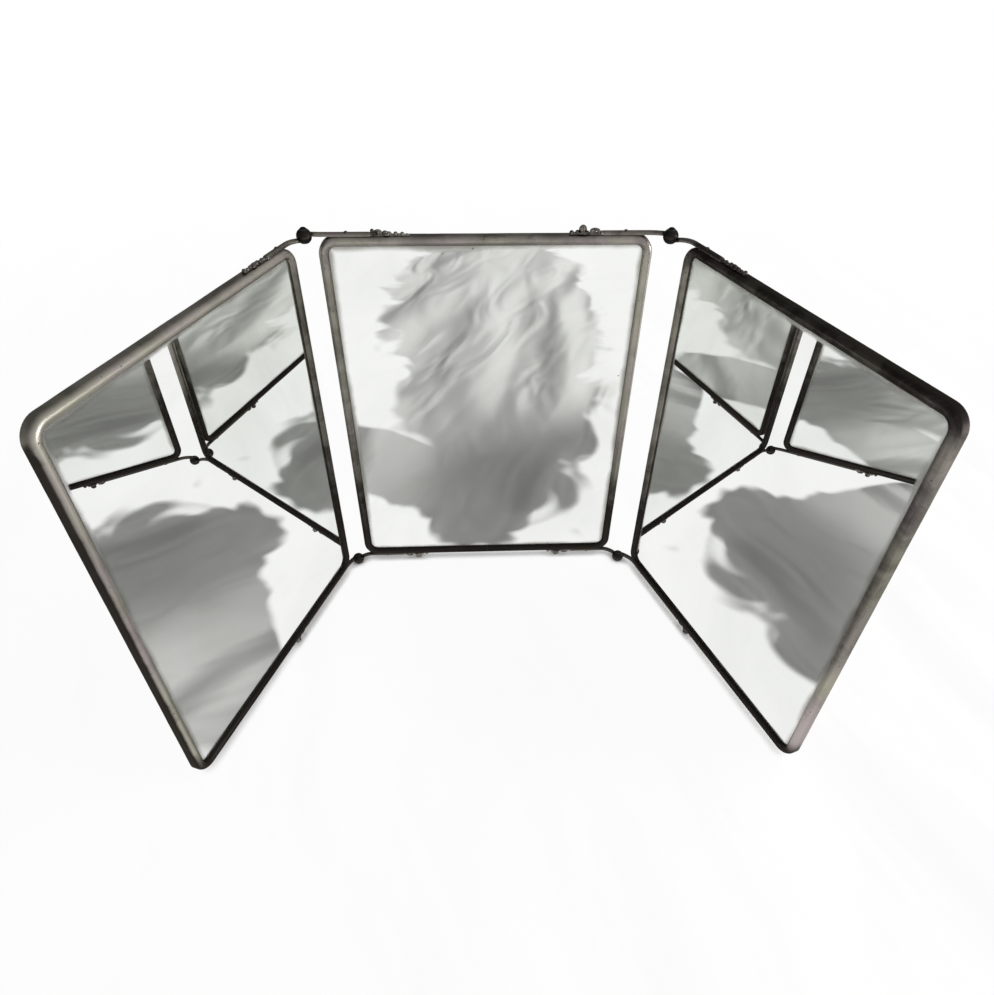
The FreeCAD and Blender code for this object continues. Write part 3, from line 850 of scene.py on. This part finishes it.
# paints patina and painted shade into each point of a frame
def paint_patina_and_shade(shape, rails):
    across = shape.verts.layers.float["across"]
    patina_and_shade = shape.verts.layers.float["patina_and_shade"]
    for point in shape.verts:
        right = smooth_step(point.co.x, -CORNER_X, CORNER_X)
        low = smooth_step(point.co.z, -CORNER_Z + BOTTOM_RAIL_REACH, -CORNER_Z - CORNER_BLEND)
        high = smooth_step(point.co.z, CORNER_Z - CORNER_BLEND, CORNER_Z + CORNER_BLEND)

        def share_of(part):
            sides = rails["left"][part] * (1 - right) + rails["right"][part] * right
            bottom, top = rails["bottom"][part] - sides, rails["top"][part] - sides
            return sides + bottom * low + top * high

        on_flat = smooth_step(point[across], *CROWN_TO_FLAT)
        at_foot = smooth_step(point.co.z, CORNER_Z * 0.1, -CORNER_Z)
        seam = smooth_step(point[across], *SEAM_WIDTH)
        dark = share_of(0) + share_of(1) * on_flat + share_of(2) * at_foot + SEAM_DARK * seam
        point[patina_and_shade] = min(1.0, dark)


print("rails painted:", sum(len(rails) for rails in RAIL_PATINA_AND_SHADE.values()))

# %% [markdown]
# ## Three frames
# A frame is now one run through these steps, and each panel's matrix puts it
# in its place.  Normals have to point outwards before solidify, because that
# is the side the sheet keeps.  Each panel has its own seed, so that no two
# frames have the same dents.

# %% Make the frames
FIRST_SEED = 1.3
SEED_STEP = 3.7


def make_frame(panel, seed):
    shape = new_strip()
    mark_across(shape, draw_section(shape))
    bend_strip(shape)
    bmesh.ops.recalc_face_normals(shape, faces=shape.faces)
    front = min(shape.faces, key=lambda face: face.calc_center_median().y)
    if front.normal.y > 0:
        bmesh.ops.reverse_faces(shape, faces=shape.faces)
    dent(shape, seed)
    paint_patina_and_shade(shape, RAIL_PATINA_AND_SHADE[panel])
    bmesh.ops.solidify(shape, geom=shape.faces, thickness=SHEET)
    bmesh.ops.transform(shape, matrix=PLACES[panel], verts=shape.verts)
    piece = make_piece(shape, panel + "_rolled_frame", BODIES[panel], CHANNEL)
    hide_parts(panel + "_frame")
    return piece


for number, panel in enumerate(PLACES):
    made_frame = make_frame(panel, SEED_STEP * number + FIRST_SEED)
    print(made_frame.name, "faces", len(made_frame.data.polygons))

# %% [markdown]
# ## Cast sprays
# Each hinge arm ends in a small casting: a spine that tapers away, a scroll,
# a bud and a few knobs.  The forms are few and simple, but on a casting they
# flow into each other.  So each form is made on its own with bmesh, they all
# overlap, and a voxel remesh with a little smoothing melts them into one skin,
# as the wax of the pattern was.  Local X runs along the spray, Z is its height
# above the frame's edge.

# %% Knobs of a casting
QUARTER_TURN = math.radians(90)
SPINE_ROOT, SPINE_TIP, SPINE_HEIGHT = 1.1, 0.7, 0.3
COLLAR_HALF, COLLAR_HEIGHT, COLLAR_THIN = 0.35, 0.45, 0.3


def add_knob(shape, along, aside, height, radius, stretch=1.0, ribs=0, rib_depth=0.2,
             upright=False):
    """A ball, longer or shorter along the spray, with ribs if wanted.

    All lengths of the castings are given in millimetres.
    """
    place = Vector((along, aside, height)) * MM
    made = bmesh.ops.create_uvsphere(shape, u_segments=48, v_segments=20,
                                     radius=radius * MM)["verts"]
    for vert in made:
        if ribs:
            angle = math.atan2(vert.co.y, vert.co.x)
            cut = 1 - rib_depth * (0.5 - 0.5 * abs(math.cos(ribs * angle / 2))) * 2
            vert.co.x *= cut
            vert.co.y *= cut
    turn = Matrix.Identity(4) if upright else Matrix.Rotation(QUARTER_TURN, 4, "Y")
    size = Matrix.Diagonal((stretch, 1, 1, 1))
    bmesh.ops.transform(shape, matrix=Matrix.Translation(place) @ size @ turn, verts=made)


def add_collar(shape, along, radius):
    """A ring round the root, where the casting was soldered to its arm."""
    for shift in (-COLLAR_HALF, COLLAR_HALF):
        add_knob(shape, along + shift, 0, COLLAR_HEIGHT, radius, stretch=COLLAR_THIN)


def add_spine(shape, length):
    """The tapered bar under all the other forms."""
    lying = Matrix.Rotation(QUARTER_TURN, 4, "Y")
    place = Matrix.Translation(Vector((length / 2, 0, SPINE_HEIGHT)) * MM)
    bmesh.ops.create_cone(shape, cap_ends=True, segments=24, radius1=SPINE_ROOT * MM,
                          radius2=SPINE_TIP * MM, depth=length * MM, matrix=place @ lying)


print("forms: knob, collar, spine")

# %% [markdown]
# ## The scroll
# A scroll is a bar rolled up on itself.  One end face is extruded again and
# again, and each time the new face is turned a little, drawn inwards and made
# slightly smaller.  The spiral grows round the origin, and only when its ball
# is on, is it turned to its start, drawn out and put in its place.

# %% Scroll of a casting
SCROLL_STEPS = 30
SCROLL_TAPER = 0.985
EYE_SIZE = 0.85


def add_scroll(shape, along, height, ring, thick, flat=False, start=200.0, sweep=420.0,
               close=0.45, long=1.0):
    """A tapering bar rolled up into a spiral, with a ball at its inner end.

    It starts ring millimetres from its middle and ends at close times that.
    """
    before = set(shape.verts)
    circle = bmesh.ops.create_circle(shape, cap_ends=True, segments=14, radius=thick * MM)["verts"]
    bmesh.ops.translate(shape, vec=Vector((ring * MM, 0, 0)), verts=circle)
    face = circle[0].link_faces[0]
    taper = Matrix.Diagonal((SCROLL_TAPER, SCROLL_TAPER, SCROLL_TAPER, 1))
    turn = Matrix.Rotation(math.radians(sweep / SCROLL_STEPS), 4, "Y")
    for _ in range(SCROLL_STEPS):
        grown = bmesh.ops.extrude_face_region(shape, geom=[face])["geom"]
        face = next(item for item in grown if isinstance(item, bmesh.types.BMFace))
        middle = face.calc_center_median()
        inward = -middle.normalized() * (1 - close) * ring * MM / SCROLL_STEPS
        shrink = Matrix.Translation(middle + inward) @ taper @ Matrix.Translation(-middle)
        bmesh.ops.transform(shape, matrix=turn @ shrink, verts=face.verts)
    eye = Matrix.Translation(face.calc_center_median())
    bmesh.ops.create_uvsphere(shape, u_segments=16, v_segments=10,
                              radius=thick * EYE_SIZE * MM, matrix=eye)
    tilt = Matrix.Rotation(QUARTER_TURN, 4, "X") if flat else Matrix.Identity(4)
    place = Matrix.Translation(Vector((along, 0, height)) * MM)
    swing = Matrix.Rotation(math.radians(start), 4, "Y")
    drawn_out = Matrix.Diagonal((long, 1, 1, 1))
    made = [vert for vert in shape.verts if vert not in before]
    bmesh.ops.transform(shape, matrix=place @ tilt @ drawn_out @ swing, verts=made)


print("steps in a scroll:", SCROLL_STEPS)

# %% [markdown]
# ## Three patterns
# One mirror carries three patterns of casting.  The first has a tall ribbed
# bud behind its scroll, the second two balls before it and only low forms
# after it, and the third lies low all along.  Side leaves are long thin knobs
# on both sides.  Each line below is one form, from the arm to the tip.

# %% The three sprays
SCROLL_RISE = {"start": 158.0, "sweep": 400.0, "close": 0.15}


def budded_spray(shape):
    add_spine(shape, 18.8)
    add_collar(shape, 0.7, 1.75)
    add_scroll(shape, 5.2, 1.8, 1.75, 0.68, long=1.65, **SCROLL_RISE)
    add_knob(shape, 8.9, 0, 1.0, 1.3, 0.9, ribs=8)
    add_knob(shape, 11.6, 0, 1.4, 1.8)
    add_knob(shape, 11.6, 0, 3.1, 2.25, 1.05, ribs=7, rib_depth=0.25, upright=True)
    add_knob(shape, 11.6, 0, 4.9, 0.6)
    for aside in (-1.2, 1.2):
        add_knob(shape, 10.4, aside, 1.0, 0.95, 1.7, ribs=5)
        add_knob(shape, 13.2, aside * 0.8, 0.85, 0.75, 1.6)
    add_knob(shape, 14.7, 0, 1.25, 1.45, 0.85, ribs=6)
    add_knob(shape, 16.5, 0, 0.7, 0.9, 0.8)
    add_knob(shape, 18.0, 0, 1.05, 1.45, 0.9, ribs=6)


def plain_spray(shape):
    add_spine(shape, 22.6)
    add_collar(shape, 0.2, 1.6)
    add_knob(shape, 1.75, 0, 2.6, 1.2)
    add_knob(shape, 1.75, 0, 1.3, 0.95)
    add_scroll(shape, 5.3, 1.7, 1.65, 0.70, long=1.35, **SCROLL_RISE)
    add_knob(shape, 8.9, 0, 1.5, 1.45, 1.1, ribs=8)
    add_knob(shape, 10.9, 0, 1.15, 1.25, 1.4, ribs=7)
    for aside in (-1.1, 1.1):
        add_knob(shape, 9.6, aside, 0.9, 0.85, 1.8, ribs=5)
    add_knob(shape, 14.8, 0, 1.0, 1.35, 0.9, ribs=6)
    add_knob(shape, 16.6, 0, 0.7, 0.8, 0.6)
    add_knob(shape, 18.5, 0, 0.9, 1.25, 0.95, ribs=6)
    add_knob(shape, 21.2, 0, 0.4, 0.85, 1.5)


def low_spray(shape):
    add_spine(shape, 21.6)
    add_collar(shape, 0.5, 1.7)
    add_scroll(shape, 4.2, 1.3, 1.15, 0.72, flat=True, close=0.25)
    buds = ((7.2, -0.75, 0.9), (7.9, 0.75, 0.9), (9.3, 0, 1.2), (11.8, 0, 1.4))
    for along, aside, radius in buds:
        add_knob(shape, along, aside, 1.15, radius, 1.1, ribs=6)
    for aside in (-1.0, 1.0):
        add_knob(shape, 12.8, aside, 0.9, 0.8, 2.0, ribs=5)
    add_knob(shape, 15.4, 0, 1.05, 1.2, 0.85, ribs=7)
    add_knob(shape, 17.6, 0, 0.95, 1.0, 1.3, ribs=5)
    add_knob(shape, 20.5, 0, 1.05, 1.5, 0.85, ribs=8)


SPRAY_FORMS = {"budded": budded_spray, "plain": plain_spray, "low": low_spray}
print("patterns:", sorted(SPRAY_FORMS))

# %% [markdown]
# ## Melting the forms together
# The Remesh modifier wraps all forms of a spray in one skin of small squares,
# and Smooth rounds the creases between them.  Both work on an object, so the
# forms become one for a moment, and only the finished mesh is kept.  A spray
# is melted once and then used for every casting of its pattern.

# %% Melt the sprays
VOXEL = 0.13 * MM
SMOOTHING_ROUNDS = 4


def melt_together(style):
    """Remesh and smooth the overlapping forms into one skin."""
    shape = bmesh.new()
    SPRAY_FORMS[style](shape)
    mesh = bpy.data.meshes.new(style + "_forms")
    shape.to_mesh(mesh)
    shape.free()
    master = bpy.data.objects.new(style + "_forms", mesh)
    bpy.context.scene.collection.objects.link(master)
    melt = master.modifiers.new("melt", "REMESH")
    melt.mode = "VOXEL"
    melt.voxel_size = VOXEL
    soften = master.modifiers.new("soften", "SMOOTH")
    soften.factor = 0.5
    soften.iterations = SMOOTHING_ROUNDS
    evaluated = bpy.context.evaluated_depsgraph_get()
    skin = bpy.data.meshes.new_from_object(master.evaluated_get(evaluated))
    bpy.data.objects.remove(master)
    return skin


SKINS = {style: melt_together(style) for style in SPRAY_FORMS}
for style, skin in SKINS.items():
    print(style, "faces", len(skin.polygons))

# %% [markdown]
# ## Placing the sprays
# A spray sits where its arm ends, on the flat edge of its frame.  The upper
# ones differ: the left centre spray has no bud, and those of the wings are
# low.  The lower ones all have the tall bud, filed flat where it stands on the
# table.  For each spray the table below gives its panel, which side and which
# edge of it, how far the root is from the glass's side, and the pattern.

# %% Place the sprays
ARM_BACK = 0.6 * MM
WELD = 0.002 * MM
CASTING_CREASE_ANGLE = 50.0
DOWN = Vector((0, 0, -1))
SPRAYS = {
    "left_upper_centre_spray": ("centre", -1, 1, 24.0, "plain"),
    "right_upper_centre_spray": ("centre", 1, 1, 24.0, "budded"),
    "left_lower_centre_spray": ("centre", -1, -1, 24.0, "budded"),
    "right_lower_centre_spray": ("centre", 1, -1, 24.0, "budded"),
    "left_upper_wing_spray": ("left_wing", 1, 1, 18.0, "low"),
    "right_upper_wing_spray": ("right_wing", -1, 1, 24.0, "low"),
    "left_lower_wing_spray": ("left_wing", 1, -1, 61.0, "budded"),
    "right_lower_wing_spray": ("right_wing", -1, -1, 61.0, "budded"),
}


def cut_flat(shape, point, outward):
    """Cut the skin with a plane and close the cut."""
    geometry = list(shape.verts) + list(shape.edges) + list(shape.faces)
    cut = bmesh.ops.bisect_plane(shape, geom=geometry, plane_co=point, plane_no=outward,
                                 clear_outer=True)
    loop = [item for item in cut["geom_cut"] if isinstance(item, bmesh.types.BMEdge)]
    bmesh.ops.triangle_fill(shape, use_beauty=True, use_dissolve=False, edges=loop)


def make_spray(node, panel, end, edge, seat, style):
    shape = bmesh.new()
    shape.from_mesh(SKINS[style])
    cut_flat(shape, Vector((0, 0, 0)), DOWN)
    root = Vector((end * (SIGHT_HALF_WIDTH - seat * MM), ARM_BACK,
                   edge * (SIGHT_HALF_HEIGHT + EDGE_OUT)))
    turned = Matrix.Diagonal((-end, 1, edge, 1))
    seated = PLACES[panel] @ Matrix.Translation(root) @ turned
    bmesh.ops.transform(shape, matrix=seated, verts=shape.verts)
    if edge < 0:
        cut_flat(shape, Vector((0, 0, 0)), DOWN)
    bmesh.ops.remove_doubles(shape, verts=shape.verts, dist=WELD)
    bmesh.ops.recalc_face_normals(shape, faces=shape.faces)
    # the right wing's castings take the darker copy: soot and painted shade
    finish = SOOTED_AND_SHADED if panel == "right_wing" else CASTING
    piece = make_piece(shape, node.replace("spray", "casting"), BODIES[panel], finish,
                       CASTING_CREASE_ANGLE)
    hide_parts(node)
    return piece


for node, choice in SPRAYS.items():
    casting = make_spray(node, *choice)
    triangles = sum(len(face.vertices) - 2 for face in casting.data.polygons)
    print(casting.name, "triangles", triangles)

# %% [markdown]
# ## Grey patches painted into the reflections
# The floor is a plain pale cloth with soft folds.  To metal and glass it shows
# its lit grey only in three patches by the mirror and goes to white round them,
# so the patches are a painted reflection: the eye sees them in the mirrors,
# where they make glass look like glass, and not on the floor itself.  Each
# patch is an ellipse: where its middle is, how far it reaches both ways, and
# its turn.  A Mapping node of the texture kind takes the cloth to the patch's
# own measure, in which the edge lies at 1, and noise frays that edge.

# %% Grey patches in the cloth's reflections
REFLECTED_GREY_PATCHES = (
    ((0.02, -0.32), (0.13, 0.36), 0.0),
    ((-0.075, -0.02), (0.11, 0.05), 0.59),
    ((-0.005, -0.01), (0.052, 0.10), 0.0),
)
OUTSIDE_ALL = 3.0
REFLECTED_GREY_TO_WHITE = (1.40, 1.55)
GLOSS_WHITE = 0.96


def patch_measure(tree, point, middle, reach, turn):
    """How far a point is from a patch's middle: 1 at the patch's edge."""
    local = add_node(tree, "ShaderNodeMapping", {"vector_type": "TEXTURE"}, Vector=point,
                     Location=(*middle, 0.0), Rotation=(0.0, 0.0, turn),
                     Scale=(*reach, 1.0)).outputs[0]
    return add_node(tree, "ShaderNodeVectorMath", {"operation": "LENGTH"},
                    Vector=local).outputs["Value"]


print("satin patches:", len(REFLECTED_GREY_PATCHES))

# %% [markdown]
# ## Floor
# Light Path tells how a ray came to the cloth.  To the camera the cloth is
# almost pure white, all white at some distance so that no horizon shows, and
# darker only right under the frames, a painted contact shadow from ambient
# occlusion.  To metal and glass it is white outside the grey patches.  All
# other light meets the plain cloth, which carries painted shade on the last
# patch, between the panels, where they keep the light away.

# %% Cloth and floor
FLOOR_SIZE = 12.0
PALE = (0.60, 0.60, 0.585, 1)
SHADED = (0.24, 0.24, 0.23, 1)
LAY_TURN = (0, 0, -0.35)
LAY_SCALE = (2.4, 0.9, 1.0)
CREASE_SHARE = 0.11
FOLD_HEIGHT = 0.12
NO_HORIZON = (0.3, 1.2)
NEAR_WHITE = 0.95
BETWEEN_PANELS = (1.4, 0.5, 0.0, 0.40)
CONTACT = 6 * MM
CONTACT_SHADOW_RANGE = (0.45, 0.98, 0.15, 1.0)


def pale_cloth():
    material, tree, shader = new_material("pale_cloth")
    shader.inputs["Roughness"].default_value = 0.6
    point = object_point(tree)
    turned = add_node(tree, "ShaderNodeMapping", Vector=point, Rotation=LAY_TURN).outputs[0]
    lay = add_node(tree, "ShaderNodeMapping", Vector=turned, Scale=LAY_SCALE).outputs[0]
    folds = add_noise(tree, lay, 3.4, 1.0, 0.35, 0.8)
    creases = add_noise(tree, lay, 9.0, 1.0, 0.4, 1.2)
    height = calculate(tree, "MULTIPLY_ADD", creases, CREASE_SHARE, folds)
    bump = add_node(tree, "ShaderNodeBump", Strength=0.8, Distance=FOLD_HEIGHT, Height=height)
    feed(tree, shader.inputs["Normal"], bump.outputs[0])
    distance = add_node(tree, "ShaderNodeVectorMath", {"operation": "LENGTH"},
                        Vector=point).outputs["Value"]
    far = remap(tree, distance, *NO_HORIZON)
    drift = add_noise(tree, point, 13.0, 2.0, 0.5, 0.8)
    measures = [patch_measure(tree, point, *patch) for patch in REFLECTED_GREY_PATCHES]
    outside = OUTSIDE_ALL
    for measure in measures:
        outside = calculate(tree, "MINIMUM", measure, outside)
    # painted shade: the cloth's colour is darker on the last patch, between the panels
    shade = remap(tree, measures[-1], *BETWEEN_PANELS)
    feed(tree, shader.inputs["Base Color"], blend_colours(tree, shade, PALE, SHADED))
    frayed = calculate(tree, "ADD", drift, outside)
    # painted reflection: to glossy rays the cloth is white except in the grey patches
    reflected_white = remap(tree, frayed, *REFLECTED_GREY_TO_WHITE, 0.0, GLOSS_WHITE)
    path = add_node(tree, "ShaderNodeLightPath").outputs
    # painted contact shadow: ambient occlusion lowers the white right under the frames
    contact_shadow = add_node(tree, "ShaderNodeAmbientOcclusion", {"samples": 8},
                    Distance=CONTACT).outputs["AO"]
    whiter = calculate(tree, "MULTIPLY_ADD", far, 1 - NEAR_WHITE, NEAR_WHITE)
    seen = calculate(tree, "MULTIPLY", whiter, remap(tree, contact_shadow, *CONTACT_SHADOW_RANGE))
    share = calculate(tree, "MULTIPLY_ADD", path["Is Camera Ray"], seen,
                      calculate(tree, "MULTIPLY", path["Is Glossy Ray"], reflected_white))
    white = add_node(tree, "ShaderNodeEmission", Color=(1, 1, 1, 1), Strength=1.0)
    mixed = add_node(tree, "ShaderNodeMixShader", Fac=share)
    feed(tree, mixed.inputs[1], shader.outputs[0])
    feed(tree, mixed.inputs[2], white.outputs[0])
    feed(tree, tree.nodes["Material Output"].inputs["Surface"], mixed.outputs[0])
    return material


def make_floor():
    shape = bmesh.new()
    bmesh.ops.create_grid(shape, x_segments=1, y_segments=1, size=FLOOR_SIZE / 2)
    mesh = bpy.data.meshes.new("floor")
    shape.to_mesh(mesh)
    shape.free()
    mesh.materials.append(pale_cloth())
    floor = bpy.data.objects.new("floor", mesh)
    bpy.context.scene.collection.objects.link(floor)
    return floor


print("floor:", make_floor().name)

# %% [markdown]
# ## The room
# Metal and glass need a room to mirror.  This one is a world material: walls
# that are light on the right and dark on the left, a darker ceiling, and a
# bright band along the horizon, as from windows.  The camera sees white.

# %% Room
FRONT_SHARE, WALL_SHARE, MIDDLE_GREY = -0.16, 0.30, 0.50
GLOW_SHARE, GLOW_GREY = 0.40, 0.60
WALL_TO_CEILING = (0.5, 1.0, 1.0, 0.8)
WALL_TO_HORIZON = (0.35, 0.05)


def make_world():
    """White to the camera, and a plain room to everything else."""
    world = bpy.data.worlds.new("room")
    world.use_nodes = True
    bpy.context.scene.world = world
    tree = world.node_tree
    background = tree.nodes["Background"]
    direction = add_node(tree, "ShaderNodeTexCoord").outputs["Generated"]
    parts = add_node(tree, "ShaderNodeSeparateXYZ", Vector=direction).outputs
    front = calculate(tree, "MULTIPLY_ADD", parts["Y"], FRONT_SHARE, MIDDLE_GREY)
    walls = calculate(tree, "MULTIPLY_ADD", parts["X"], WALL_SHARE, front)
    ceiling = calculate(tree, "MULTIPLY", walls, remap(tree, parts["Z"], *WALL_TO_CEILING))
    glow = calculate(tree, "MULTIPLY_ADD", parts["X"], GLOW_SHARE, GLOW_GREY)
    horizon = calculate(tree, "MULTIPLY", remap(tree, parts["Z"], *WALL_TO_HORIZON), glow)
    shade = calculate(tree, "MAXIMUM", ceiling, horizon)
    room = add_node(tree, "ShaderNodeCombineColor", Red=shade, Green=shade, Blue=shade).outputs[0]
    camera_ray = add_node(tree, "ShaderNodeLightPath").outputs["Is Camera Ray"]
    feed(tree, background.inputs["Color"], blend_colours(tree, camera_ray, room, (1, 1, 1, 1)))
    background.inputs["Strength"].default_value = 1.0
    return world


print("world:", make_world().name)

# %% [markdown]
# ## Lamps
# Three soft lamps give the shapes their light: a large window high on the
# right, a low one further round, and a weak fill from the front left.  Only
# the low window shows in gloss, as the bright line along the curved strips.

# %% Lamps
LAMPS = {
    "side_window": ((1.1, 0.1, 1.15), (0, 0, 0.1), (1.1, 0.9), 20, False),
    "low_window": ((1.35, -0.32, 0.21), (0, 0, 0.2), (0.9, 0.36), 10.0, True),
    "front_fill": ((-0.7, -1.3, 1.0), (0, 0, 0.1), (0.5, 0.5), 4, False),
}


def add_lamp(name, place, aim, size, power, in_gloss):
    """An area lamp: size is its width and height, power is in watts."""
    lamp = bpy.data.lights.new(name, "AREA")
    lamp.shape = "RECTANGLE"
    lamp.size, lamp.size_y = size
    lamp.energy = power
    thing = bpy.data.objects.new(name, lamp)
    bpy.context.scene.collection.objects.link(thing)
    thing.location = place
    thing.rotation_euler = (Vector(aim) - Vector(place)).to_track_quat("-Z", "Y").to_euler()
    thing.visible_glossy = in_gloss
    return thing


for name, values in LAMPS.items():
    print("lamp:", add_lamp(name, *values).name)

# %% [markdown]
# ## Camera
# The camera stands close by and well above the mirror, so the near corners of
# the wings look large.  Focal length and centre are given in pixels of a 994
# by 995 frame and turned into lens and shift, and the camera's place is
# measured from the middle of the centre glass.  Its angles are in degrees:
# how far it looks down, how far it is swung to the right, and its roll.

# %% Camera
PICTURE_WIDTH = 994
PICTURE_HEIGHT = 995
FOCAL_PIXELS = 719.09
CENTRE_PIXEL = (498.93, 540.71)
CAMERA_FROM_PANEL = Vector((-0.012403, -0.415491, 0.269014))
CAMERA_PITCH = 42.459
CAMERA_YAW = 2.949
CAMERA_ROLL = 0.728
SENSOR = 36.0


def make_camera():
    data = bpy.data.cameras.new("camera")
    data.sensor_fit = "HORIZONTAL"
    data.sensor_width = SENSOR
    data.lens = FOCAL_PIXELS / PICTURE_WIDTH * SENSOR
    data.shift_x = (PICTURE_WIDTH / 2 - CENTRE_PIXEL[0]) / PICTURE_WIDTH
    data.shift_y = (CENTRE_PIXEL[1] - PICTURE_HEIGHT / 2) / PICTURE_WIDTH
    data.clip_start = 0.01
    camera = bpy.data.objects.new("camera", data)
    bpy.context.scene.collection.objects.link(camera)
    place = Matrix.Translation(PANEL_MIDDLE + CAMERA_FROM_PANEL)
    yaw = Matrix.Rotation(math.radians(-CAMERA_YAW), 4, "Z")
    pitch = Matrix.Rotation(math.radians(90 - CAMERA_PITCH), 4, "X")
    roll = Matrix.Rotation(math.radians(CAMERA_ROLL), 4, "Z")
    camera.matrix_world = place @ yaw @ pitch @ roll
    bpy.context.scene.camera = camera
    return camera


print("camera at", [round(value, 4) for value in make_camera().matrix_world.translation])
bpy.context.scene.view_settings.view_transform = "Standard"
